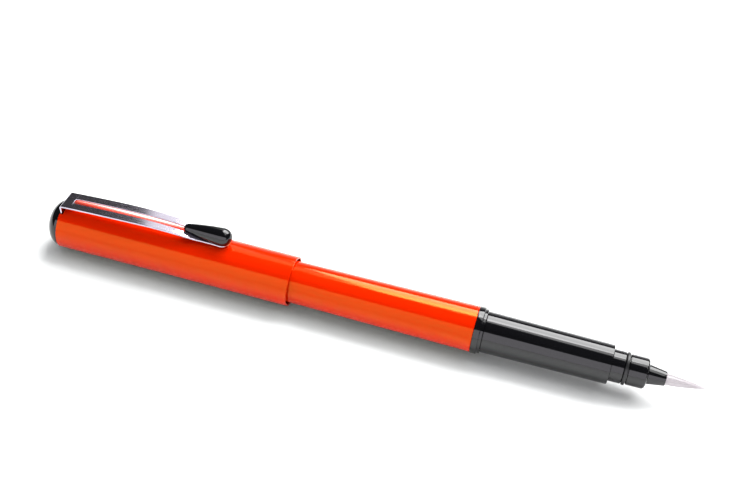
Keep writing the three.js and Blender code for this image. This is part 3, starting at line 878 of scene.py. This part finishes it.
def blank_rows():
    """Where the blank has a row of points: closer together at the bend and at round ends.

    The short steps between the stretches keep two rows from falling on one another.
    """
    quarter = [math.sin(ROUND_TURN * i / ROUND_STEPS) for i in range(ROUND_STEPS + 1)]
    tip_a = [SLOT_A - SLOT_HALF * q for q in reversed(quarter)]
    tip_b = [SLOT_B + SLOT_HALF * q for q in quarter]
    nose = [NOSE_CENTRE + NOSE_HALF * q for q in quarter]
    bend = ALONG[2 : BEND_POINTS + 2].tolist()
    rows = [0.0, *np.linspace(0.4, bend[0] - 0.2, FOOT_ROWS), *bend]
    rows += np.linspace(bend[-1] + 0.4, tip_a[0] - 0.3, HEEL_ROWS).tolist() + tip_a
    rows += np.linspace(SLOT_A + 0.6, SLOT_B - 0.6, SLOT_ROWS).tolist() + tip_b
    rows += np.linspace(tip_b[-1] + 0.5, NOSE_CENTRE - 0.4, NOSE_ROWS).tolist() + nose
    return rows


def half_width(along):
    if along > NOSE_CENTRE:
        return math.sqrt(max(NOSE_HALF**2 - (along - NOSE_CENTRE) ** 2, 0))
    return smooth(OUTLINE, along)


def slot_width(along):
    if along < SLOT_A:
        return math.sqrt(max(SLOT_HALF**2 - (SLOT_A - along) ** 2, 0))
    if along > SLOT_B:
        return math.sqrt(max(SLOT_HALF**2 - (along - SLOT_B) ** 2, 0))
    return SLOT_HALF


def blank(name, rows, outer, inner, slotted):
    """A flat strip of four columns of points. outer and inner give half widths along it."""
    bpy.ops.object.select_all(action="DESELECT")
    bpy.ops.mesh.primitive_grid_add(x_subdivisions=len(rows) - 1, y_subdivisions=3, size=1)
    piece = bpy.context.active_object
    piece.name = name
    columns = (-1, -1, 1, 1)
    for i, vertex in enumerate(piece.data.vertices):
        row = i % len(rows)
        column = i // len(rows)
        reach = outer(rows[row]) if column in (0, 3) else inner(rows[row])
        vertex.co = (rows[row] * MM, columns[column] * reach * MM, 0)
    bpy.ops.object.mode_set(mode="EDIT")
    bpy.ops.mesh.select_all(action="DESELECT")
    bpy.ops.object.mode_set(mode="OBJECT")
    if slotted:
        for face in piece.data.polygons:
            inside = SLOT_A - SLOT_REACH < face.center.x / MM < SLOT_B + SLOT_REACH
            face.select = inside and abs(face.center.y) < 0.01 * MM
    bpy.ops.object.mode_set(mode="EDIT")
    bpy.ops.mesh.select_mode(type="FACE")
    bpy.ops.mesh.delete(type="FACE")
    bpy.ops.mesh.select_all(action="SELECT")
    bpy.ops.mesh.remove_doubles(threshold=0.003 * MM)
    bpy.ops.mesh.normals_make_consistent(inside=False)
    bpy.ops.object.mode_set(mode="OBJECT")
    return piece


def inner_column(along):
    inside = SLOT_A - SLOT_REACH - 0.01 <= along <= SLOT_B + SLOT_REACH + 0.01
    return slot_width(along) if inside else INNER_SHARE * half_width(along)


CLIP_EDGE = 0.09
CLIP_EDGE_ANGLE = math.radians(50)
CLIP_SMOOTH_ANGLE = math.radians(40)
clip = blank("clip_spring", blank_rows(), half_width, inner_column, True)
apply_modifier(clip, "SOLIDIFY", thickness=CLIP_THICKNESS * MM, offset=0, use_even_offset=True)
apply_modifier(
    clip,
    "BEVEL",
    width=CLIP_EDGE * MM,
    segments=3,
    limit_method="ANGLE",
    angle_limit=CLIP_EDGE_ANGLE,
)
fold(clip)
select_only(clip)
bpy.ops.object.shade_smooth_by_angle(angle=CLIP_SMOOTH_ANGLE)
apply_modifier(clip, "WEIGHTED_NORMAL", keep_sharp=True, weight=NORMAL_WEIGHT)
dress(clip, CHROME)
place(clip, "clip", "chromed_steel", "clip_strip")

# %% [markdown]
# ## The clip's bulb
#
# A teardrop moulded onto the strip's free end. It is turned whole, then cut to the strip's own
# curve by a slab that is folded along the same line as the clip, so the two sit on each other all
# along.

# %% the bulb
BULB_RADIUS = 2.25
BULB_NECK = 1.2
BULB_SINK = 0.3  # how far the uncut teardrop reaches below the strip's middle
BULB_HEIGHT = REST_HEIGHT + BULB_RADIUS - BULB_SINK
bulb = turn(
    "clip_teardrop",
    [
        (BULB_BACK, 0),
        *arc(BULB_BACK + BULB_NECK, 0, BULB_NECK, BULB_NECK, 174, 97, 9),
        (BULB_BACK + 4.0, 1.66),
        (BULB_BACK + 7.0, 2.04),
        *arc(BULB_FRONT - BULB_RADIUS, 0, BULB_RADIUS, BULB_RADIUS, 97, 5, 18),
        (BULB_FRONT, 0),
    ],
    sides=64,
    height=BULB_HEIGHT,
)
SLAB_START = 20  # from the bend, well behind the bulb
SLAB_DEPTH = 3.0
SLAB_HALF = 5.0
SLAB_INNER = 2.0
SLAB_CLEARANCE = 0.02
SLAB_ROWS = np.linspace(FOOT_LENGTH + SLAB_START, STRIP_LENGTH, 60).tolist()
slab = blank("slab", SLAB_ROWS, lambda along: SLAB_HALF, lambda along: SLAB_INNER, False)
for vertex in slab.data.vertices:
    vertex.co.z = (CLIP_THICKNESS / 2 + SLAB_CLEARANCE - SLAB_DEPTH / 2) * MM
apply_modifier(slab, "SOLIDIFY", thickness=SLAB_DEPTH * MM, offset=0)
fold(slab)
cut(bulb, slab)
soften(bulb, 0.05, steps=2)
dress(bulb, BLACK_STYRENE)
place(bulb, "clip", "black_plastic", "clip_bulb")

# %% [markdown]
# ## The collar
#
# A loose black ring between the barrel and the grip. The cap's lip snaps over it, so it has a broad
# crown and a lower shoulder towards the grip.

# %% the collar
COLLAR_BACK, COLLAR_FRONT = ends("collar_ring")
COLLAR_RADIUS = radius("collar_ring")
COLLAR_BORE = 4.4
SHOULDER = 0.75  # length of the lower shoulder
SHOULDER_SLOPE = 0.06
SHOULDER_RADIUS = COLLAR_RADIUS - 0.32
collar = turn(
    "collar_band",
    [
        (COLLAR_BACK, COLLAR_BORE),
        (COLLAR_BACK, COLLAR_RADIUS),
        (COLLAR_FRONT - SHOULDER, COLLAR_RADIUS),
        (COLLAR_FRONT - SHOULDER + SHOULDER_SLOPE, SHOULDER_RADIUS),
        (COLLAR_FRONT, SHOULDER_RADIUS),
        (COLLAR_FRONT, COLLAR_BORE),
    ],
)
soften(collar, 0.1)
dress(collar, BLACK_STYRENE)
place(collar, "collar", "black_plastic", "collar_ring")

# %% [markdown]
# ## The grip
#
# The grip is a slightly tapering tube. Behind the collar it narrows to a threaded spigot, which
# only shows when the section is unscrewed, and a wall inside carries the feed tube.

# %% the grip and its thread
GRIP_BACK, GRIP_END = ends("grip_section")
GRIP_START = COLLAR_FRONT + SEAT_GAP
GRIP_REAR = 4.98
GRIP_FRONT = 4.72
NECK = COLLAR_BORE - SLIDE_GAP
NECK_STEP = 0.1  # length of the step from the thread's core to the neck
SPIGOT_BORE = 2.7
GRIP_BORE = 3.3
TUBE_RADIUS = radius("feed_tube")
WALL_SETBACK = 3
WALL = 2
WALL_BACK = BARREL_MOUTH + WALL_SETBACK
WALL_FRONT = WALL_BACK + WALL
GRIP_TURNS = 2.75
GRIP_RIDGE_BASE = 0.9
GRIP_RIDGE_CREST = 0.4
grip = turn(
    "grip_tube",
    [
        (GRIP_BACK, THREAD_CORE),
        (BARREL_MOUTH, THREAD_CORE),
        (BARREL_MOUTH + NECK_STEP, NECK),
        (GRIP_START, NECK),
        (GRIP_START, GRIP_REAR),
        ((GRIP_START + GRIP_END) / 2, (GRIP_REAR + GRIP_FRONT) / 2),
        (GRIP_END, GRIP_FRONT),
        (GRIP_END, GRIP_BORE),
        (WALL_FRONT, GRIP_BORE),
        (WALL_FRONT, TUBE_RADIUS + SLIDE_GAP),
        (WALL_BACK, TUBE_RADIUS + SLIDE_GAP),
        (WALL_BACK, SPIGOT_BORE),
        (GRIP_BACK, SPIGOT_BORE),
    ],
)
soften(grip, 0.13)
grip_thread = thread(
    "grip_thread",
    THREAD_START,
    GRIP_TURNS,
    foot=THREAD_CORE - BURIED,
    top=THREAD_CREST,
    base=GRIP_RIDGE_BASE,
    crest=GRIP_RIDGE_CREST,
)
join(grip, grip_thread)
dress(grip, BLACK_STYRENE)
place(grip, "section", "black_plastic", "grip_section")

# %% [markdown]
# ## The nose, its sealing ring and the ferrule
#
# The nose is a stepped sleeve pushed into the grip, with a bed for the rubber ring that seals in
# the inner cap. The ferrule is the cone that holds the bristles. It slips in from behind, so its
# flange stays inside the nose.

# %% the nose
NOSE_BACK, NOSE_END = ends("nose_sleeve")
NOSE_START = GRIP_END + SEAT_GAP
NOSE_REAR = 3.82
NOSE_FRONT = 3.68
NOSE_BORE = 2.7
PLUG = GRIP_BORE - SEAT_GAP
RING_BACK, RING_FRONT = ends("nose_ring")
RING_MIDDLE = (RING_BACK + RING_FRONT) / 2
RING_WIDTH = RING_FRONT - RING_BACK
RING_OUTER = radius("nose_ring")
BED_DEPTH = 0.25
BED = NOSE_FRONT - BED_DEPTH
BED_HALF = 0.6
FERRULE_BASE = 2.37
NOSE_CHAMFER = 0.7
NOSE_SHELF = 0.8  # the wall in front of the ferrule's flange
nose = turn(
    "nose_tube",
    [
        (NOSE_BACK, PLUG),
        (NOSE_START, PLUG),
        (NOSE_START, NOSE_REAR),
        (RING_MIDDLE - BED_HALF, NOSE_REAR),
        (RING_MIDDLE - BED_HALF, BED),
        (RING_MIDDLE + BED_HALF, BED),
        (RING_MIDDLE + BED_HALF, NOSE_FRONT),
        (NOSE_END - NOSE_CHAMFER, NOSE_FRONT),
        (NOSE_END - NOSE_CHAMFER / 3, NOSE_FRONT - NOSE_CHAMFER / 3),
        (NOSE_END, NOSE_FRONT - NOSE_CHAMFER),
        (NOSE_END, FERRULE_BASE + SLIDE_GAP),
        (NOSE_END - NOSE_SHELF, FERRULE_BASE + SLIDE_GAP),
        (NOSE_END - NOSE_SHELF, NOSE_BORE),
        (NOSE_BACK, NOSE_BORE),
    ],
)
soften(nose, 0.09)
dress(nose, BLACK_STYRENE)
place(nose, "section", "black_plastic", "nose_sleeve")

# %% the sealing ring
ring = turn(
    "seal_ring",
    [
        (RING_BACK, BED + SEAT_GAP),
        *arc(RING_MIDDLE, RING_OUTER - RING_WIDTH / 4, RING_WIDTH / 2, RING_WIDTH / 4, 180, 0, 12),
        (RING_FRONT, BED + SEAT_GAP),
    ],
)
soften(ring, 0.04, steps=2)
dress(ring, SEAL_RUBBER)
place(ring, "section", "seal_rubber", "nose_ring")

# %% the ferrule
FERRULE_BACK, FERRULE_END = ends("ferrule")
FERRULE_MOUTH = 1.74
TUFT_RADIUS = radius("bristle_root")
TUFT_FIT = 0.11
TUFT_BORE = TUFT_RADIUS + TUFT_FIT
FLANGE_END = NOSE_END - NOSE_SHELF - SEAT_GAP
FLANGE_RADIUS = NOSE_BORE - SEAT_GAP
FERRULE_STRAIGHT = 0.25  # of the cone's foot in front of the nose
FERRULE_LIP = 0.9  # length of the blunter last stretch
FERRULE_LIP_RISE = 0.14
ferrule = turn(
    "ferrule_cone",
    [
        (FERRULE_BACK, FLANGE_RADIUS),
        (FLANGE_END, FLANGE_RADIUS),
        (FLANGE_END, FERRULE_BASE),
        (NOSE_END + FERRULE_STRAIGHT, FERRULE_BASE),
        (FERRULE_END - FERRULE_LIP, FERRULE_MOUTH + FERRULE_LIP_RISE),
        (FERRULE_END, FERRULE_MOUTH),
        (FERRULE_END, TUFT_BORE),
        (FERRULE_BACK, TUFT_BORE),
    ],
)
soften(ferrule, 0.06)
dress(ferrule, BLACK_STYRENE)
place(ferrule, "section", "black_plastic", "ferrule")

# %% [markdown]
# ## The bristles
#
# The tuft is several hundred drawn nylon filaments, each about a tenth of a millimetre thick and
# tapered to nothing. Every filament is one spline, thick at the root and pointed at its end, and
# they all lean in towards a common point. A fixed seed makes the same brush each time.

# %% the filaments
FILAMENTS = 620
FILAMENT_RADIUS = 0.058
TUFT_TIP = ends("bristle_tuft")[1]
TUFT_LENGTH = TUFT_TIP - FERRULE_END
ROOT_INSIDE = 1.2  # how much of each filament is inside the ferrule
TUFT_INSET = 0.03
# The tuft's outline: share of its length, and share of its root's radius.
TUFT_SHAPE = [(0, 1.0), (0.25, 0.83), (0.5, 0.62), (0.7, 0.42), (0.85, 0.24), (1.0, 0.03)]
TIP_LIFT = 0.3
SPLINE_POINTS = 11
SWAY = 0.15  # radians that a filament may wander round the axis by its end
SHORTER = 0.5  # the shortest filaments lose this share of their length
SHORTER_BIAS = 1.6  # above 1, most filaments are long
TAPER = 2.2  # how late a filament thins
THINNEST = 0.04
chance = random.Random(11)


def tuft_radius(share):
    return (TUFT_RADIUS - TUFT_INSET) * smooth(TUFT_SHAPE, share)


def bristles():
    curve = bpy.data.curves.new("bristle_filaments", "CURVE")
    curve.dimensions = "3D"
    curve.bevel_depth = FILAMENT_RADIUS * MM
    curve.bevel_resolution = 0
    curve.use_fill_caps = True
    for _ in range(FILAMENTS):
        spread = math.sqrt(chance.random())
        angle = chance.uniform(0, 2 * math.pi)
        sway = chance.uniform(-SWAY, SWAY)
        reach = 1 - SHORTER * chance.random() ** SHORTER_BIAS
        spline = curve.splines.new("POLY")
        spline.points.add(SPLINE_POINTS - 1)
        for i, point in enumerate(spline.points):
            t = i / (SPLINE_POINTS - 1)
            x = -ROOT_INSIDE + t * (TUFT_LENGTH * reach + ROOT_INSIDE)
            share = max(x / TUFT_LENGTH, 0)
            out = spread * tuft_radius(share)
            turned_angle = angle + sway * share
            lift = TIP_LIFT * share**3
            z = AXIS + out * math.sin(turned_angle) + lift
            point.co = ((FERRULE_END + x) * MM, out * math.cos(turned_angle) * MM, z * MM, 1)
            point.radius = max(1 - t**TAPER, THINNEST)
    piece = bpy.data.objects.new("bristle_filaments", curve)
    bpy.context.scene.collection.objects.link(piece)
    select_only(piece)
    bpy.ops.object.convert(target="MESH")
    bpy.ops.object.shade_smooth()
    return piece


tuft = bristles()
dress(tuft, NYLON)
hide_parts("bristle_tuft")
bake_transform(tuft)
print(f"{tuft.name}: {len(tuft.data.polygons)} faces, bends at the ferrule")

# %% [markdown]
# ## The hidden pieces
#
# The feed, its tube and wick, the glued root of the bristles, and the cartridge with its ball and
# ink are turned like the rest, with more fins on the feed than the frame needs.

# %% the ink feed
FEED_BACK, FEED_FRONT = ends("ink_feed")
FEED_RADIUS = radius("ink_feed")
FINS = 14
FIN_GAP = 0.55
FIN_DEPTH = 0.9


def feed_profile():
    spacing = (FEED_FRONT - FEED_BACK - FIN_GAP) / FINS
    profile = [(FEED_BACK, TUBE_RADIUS + SEAT_GAP), (FEED_BACK, FEED_RADIUS)]
    for i in range(1, FINS):
        start = FEED_BACK + i * spacing
        profile += [(start, FEED_RADIUS), (start, FEED_RADIUS - FIN_DEPTH)]
        profile += [(start + FIN_GAP, FEED_RADIUS - FIN_DEPTH), (start + FIN_GAP, FEED_RADIUS)]
    return profile + [(FEED_FRONT, FEED_RADIUS), (FEED_FRONT, TUBE_RADIUS + SEAT_GAP)]


feed = turn("ink_feed_fins", feed_profile(), sides=64)
soften(feed, 0.04, steps=1)
dress(feed, FEED_ABS)
place(feed, "section", "feed_plastic", "ink_feed")

# %% the feed tube, the wick and the bristles' root
TUBE_BACK, TUBE_FRONT = ends("feed_tube")
WICK_BACK, WICK_FRONT = ends("relay_wick")
WICK_RADIUS = radius("relay_wick")
WICK_FIT = 0.06
TUBE_BORE = WICK_RADIUS + WICK_FIT
TUBE_POINT = WICK_RADIUS + 0.2  # its piercing end
TUBE_POINT_LENGTH = 0.8
tube = turn(
    "feed_tube_clear",
    [
        (TUBE_BACK, TUBE_BORE),
        (TUBE_BACK, TUBE_POINT),
        (TUBE_BACK + TUBE_POINT_LENGTH, TUBE_RADIUS),
        (TUBE_FRONT, TUBE_RADIUS),
        (TUBE_FRONT, TUBE_BORE),
    ],
    sides=48,
)
soften(tube, 0.03, steps=2)
dress(tube, CLEAR_POLYPROPYLENE)
place(tube, "section", "clear_plastic", "feed_tube")

wick = turn(
    "relay_wick_rod",
    [(WICK_BACK, 0), (WICK_BACK, WICK_RADIUS), (WICK_FRONT, WICK_RADIUS), (WICK_FRONT, 0)],
    sides=32,
)
soften(wick, 0.05, steps=2)
dress(wick, WICK_FIBRE)
place(wick, "section", "nylon", "relay_wick")

ROOT_BACK, ROOT_FRONT = ends("bristle_root")
root = turn(
    "bristle_root_plug",
    [(ROOT_BACK, 0), (ROOT_BACK, TUFT_RADIUS), (ROOT_FRONT, TUFT_RADIUS), (ROOT_FRONT, 0)],
    sides=48,
)
soften(root, 0.1)
dress(root, NYLON)
place(root, "section", "nylon", "bristle_root")

# %% the cartridge, its ink and its ball
CARTRIDGE_RADIUS = radius("cartridge_shell")
CARTRIDGE_WALL = 0.5
CARTRIDGE_ROUND = 0.8
NECK_FLOOR = 1.1  # how far the neck's narrow bore starts in front of the shoulder
CARTRIDGE_NECK_LENGTH = 6.9
CARTRIDGE_NECK = 2.5
SHOULDER_X = CARTRIDGE_FRONT - CARTRIDGE_NECK_LENGTH
CHAMBER = CARTRIDGE_RADIUS - CARTRIDGE_WALL
ROUND_RADIUS = CARTRIDGE_RADIUS - CARTRIDGE_ROUND
cartridge = turn(
    "cartridge_bottle",
    [
        (CARTRIDGE_BACK, 0),
        *arc(
            CARTRIDGE_BACK + CARTRIDGE_ROUND,
            ROUND_RADIUS,
            CARTRIDGE_ROUND,
            CARTRIDGE_ROUND,
            178,
            90,
            6,
        ),
        (SHOULDER_X - CARTRIDGE_ROUND, CARTRIDGE_RADIUS),
        (SHOULDER_X, ROUND_RADIUS),
        (SHOULDER_X, CARTRIDGE_NECK),
        (CARTRIDGE_FRONT, CARTRIDGE_NECK),
        (CARTRIDGE_FRONT, TUBE_RADIUS + SLIDE_GAP),
        (SHOULDER_X + NECK_FLOOR, TUBE_RADIUS + SLIDE_GAP),
        (SHOULDER_X - CARTRIDGE_WALL, CHAMBER - CARTRIDGE_ROUND),
        (SHOULDER_X - CARTRIDGE_WALL - CARTRIDGE_ROUND, CHAMBER),
        (CARTRIDGE_BACK + CARTRIDGE_WALL, CHAMBER),
        (CARTRIDGE_BACK + CARTRIDGE_WALL, 0),
    ],
)
soften(cartridge, 0.12)
dress(cartridge, CLEAR_POLYPROPYLENE)
place(cartridge, "cartridge", "clear_plastic", "cartridge_shell")

INK_BACK, INK_FRONT = ends("ink_charge")
INK_RADIUS = radius("ink_charge")
ink = turn(
    "ink_column",
    [(INK_BACK, 0), (INK_BACK, INK_RADIUS), (INK_FRONT, INK_RADIUS), (INK_FRONT, 0)],
)
soften(ink, 0.4)
dress(ink, WET_INK)
place(ink, "cartridge", "ink", "ink_charge")

BALL_BACK, BALL_FRONT = ends("seal_ball")
BALL_RADIUS = radius("seal_ball")
ball_middle = (BALL_BACK + BALL_FRONT) / 2
ball = turn(
    "seal_ball_round",
    [(BALL_BACK, 0), *arc(ball_middle, 0, BALL_RADIUS, BALL_RADIUS, 174, 6, 20), (BALL_FRONT, 0)],
    sides=48,
)
select_only(ball)
bpy.ops.object.shade_smooth()
dress(ball, CLEAR_POLYPROPYLENE)
place(ball, "cartridge", "clear_plastic", "seal_ball")

# %% [markdown]
# ## The table
#
# The pen lies on a sheet of matt white paper, far larger than the view. A faint change of tone
# stands for its fibres.

# %% the paper
TABLE_SIZE = 6.0  # m
PAPER_FIBRE = 1.5  # mm, drawn much coarser than real fibres so that it shows
bpy.ops.object.select_all(action="DESELECT")
bpy.ops.mesh.primitive_plane_add(size=TABLE_SIZE)
table_top = bpy.context.active_object
table_top.name = "table"


def table_paper():
    material = new_material("white_sweep_paper")
    fibre = add_node(
        material,
        "TexNoise",
        {"Vector": along_pen(material, PAPER_FIBRE, PAPER_FIBRE), "Scale": 1.0, "Detail": 2.0},
    )
    tone = add_node(material, "ValToRGB", {"Fac": fibre.outputs["Fac"]})
    tone.color_ramp.elements[0].color = linear("#f1f2f2")
    tone.color_ramp.elements[1].color = linear("#f4f5f5")
    shader = add_node(
        material,
        "BsdfPrincipled",
        {"Base Color": tone.outputs["Color"], "Roughness": 0.95, "Specular IOR Level": 0.1},
    )
    return finish_material(material, shader)


# Matt paper: the table.
dress(table_top, table_paper())

# %% [markdown]
# ## The softboxes
#
# A glossy pen shows its lights more than it shows itself, so each light is there for what it does.
# A large softbox above and behind is the main light, and its reflection is the pale stripe along
# the top. Two weaker boxes beside and above it soften the ends of the shadow and of the stripe. A
# low card behind lifts the far edge, a card in front gives the lower half its even sheen, and the
# studio between them reflects as a dark band. Those two cards light nothing diffusely, and the
# overhead fill is not seen in reflections. The last light falls on the pen only, as if a flag kept
# it off the paper.


# %% a softbox, and six of them
def softbox(name, centre, aim, width, height, brightness, roll=0.0):
    """An area light that faces aim. brightness is its radiance, 1 being paper white."""
    lamp = bpy.data.lights.new(name, "AREA")
    lamp.shape = "RECTANGLE"
    lamp.size = width
    lamp.size_y = height
    lamp.energy = brightness * math.pi * width * height
    holder = bpy.data.objects.new(name, lamp)
    bpy.context.scene.collection.objects.link(holder)
    holder.location = centre
    direction = Vector(aim) - Vector(centre)
    facing = direction.to_track_quat("-Z", "Y").to_matrix()
    holder.rotation_euler = (facing @ Matrix.Rotation(roll, 3, "Z")).to_euler()
    holder.visible_camera = False
    return holder


softbox(
    "key_softbox",
    (0.17, 0.38, 0.483),
    (0.08, 0, 0),
    width=0.62,
    height=0.44,
    brightness=9.4,
    roll=math.radians(18),
)
softbox(
    "key_feather", (-0.19, 0.36, 0.43), (-0.05, 0, 0), width=0.09, height=0.40, brightness=1.3
)
softbox("key_fade", (0.155, 0.12, 0.62), (0.075, 0, 0), width=0.64, height=0.20, brightness=3.2)
front = softbox(
    "front_card", (0.0, -0.60, 0.228), (0, 0, 0.02), width=1.8, height=0.50, brightness=2.0
)
front.data.color = (0.96, 0.93, 1.0)
front.visible_diffuse = False
low = softbox(
    "low_back_card", (-0.1, 0.9, 0.16), (0, 0, 0.02), width=1.6, height=0.26, brightness=0.6
)
low.visible_diffuse = False
fill = softbox(
    "overhead_fill", (0.0, 0.06, 0.60), (0, 0, 0), width=1.2, height=0.50, brightness=0.7
)
fill.visible_glossy = False

# %% a light for the pen only
pen_fill = softbox(
    "pen_fill", (0.0, -0.60, 0.30), (0, 0, 0.01), width=1.8, height=0.60, brightness=0.15
)
pen_fill.visible_glossy = False
lit_pieces = bpy.data.collections.new("lit_by_pen_fill")
for piece in bpy.context.scene.objects:
    if piece.type == "MESH" and piece != table_top:
        lit_pieces.objects.link(piece)
pen_fill.light_linking.receiver_collection = lit_pieces

# %% the studio round it
WORLD_FILL = 0.42  # strength of the soft light from all round
WORLD_REFLECTED = 0.06  # strength of the dark studio that the pen reflects
WORLD_SEEN = 1.0  # strength behind the table's edge


def studio_world():
    """White where the camera looks past the table, dim in reflections, a soft fill elsewhere."""
    world = bpy.data.worlds.new("studio")
    world.use_nodes = True
    background = world.node_tree.nodes["Background"]
    background.inputs["Color"].default_value = linear("#f7f8f9")
    path = add_node(world, "LightPath")
    glossy = add_node(
        world,
        "Mix",
        {"Factor": path.outputs["Is Glossy Ray"], "A": WORLD_FILL, "B": WORLD_REFLECTED},
    )
    seen = add_node(
        world,
        "Mix",
        {"Factor": path.outputs["Is Camera Ray"], "A": glossy.outputs["Result"], "B": WORLD_SEEN},
    )
    world.node_tree.links.new(seen.outputs["Result"], background.inputs["Strength"])
    print(f"{world.name}: {len(world.node_tree.nodes)} nodes")
    return world


bpy.context.scene.world = studio_world()

# %% [markdown]
# ## The camera
#
# It looks down on the pen at about 41 degrees from some 29 cm away. It is turned and rolled by a
# few degrees, so the pen runs slantwise through the view.

# %% the camera
CAMERA_TURN = math.radians(11.51)
CAMERA_DOWN = math.radians(40.77)
CAMERA_ROLL = math.radians(6.68)
CAMERA_PLACE = Vector((42.15, -204.77, 203.91)) * MM
SENSOR_WIDTH = 36  # mm
FOCAL_LENGTH = 57.6  # mm
NEAREST = 0.01  # m

lens = bpy.data.cameras.new("camera")
lens.sensor_width = SENSOR_WIDTH
lens.lens = FOCAL_LENGTH
lens.clip_start = NEAREST
camera = bpy.data.objects.new("camera", lens)
bpy.context.scene.collection.objects.link(camera)
tilt = Euler((math.pi / 2 - CAMERA_DOWN, 0, CAMERA_TURN)).to_matrix()
camera.rotation_euler = (tilt @ Matrix.Rotation(CAMERA_ROLL, 3, "Z")).to_euler()
camera.location = CAMERA_PLACE
bpy.context.scene.camera = camera
bpy.context.scene.view_settings.view_transform = "Standard"
print("camera at", [round(v, 4) for v in camera.location])
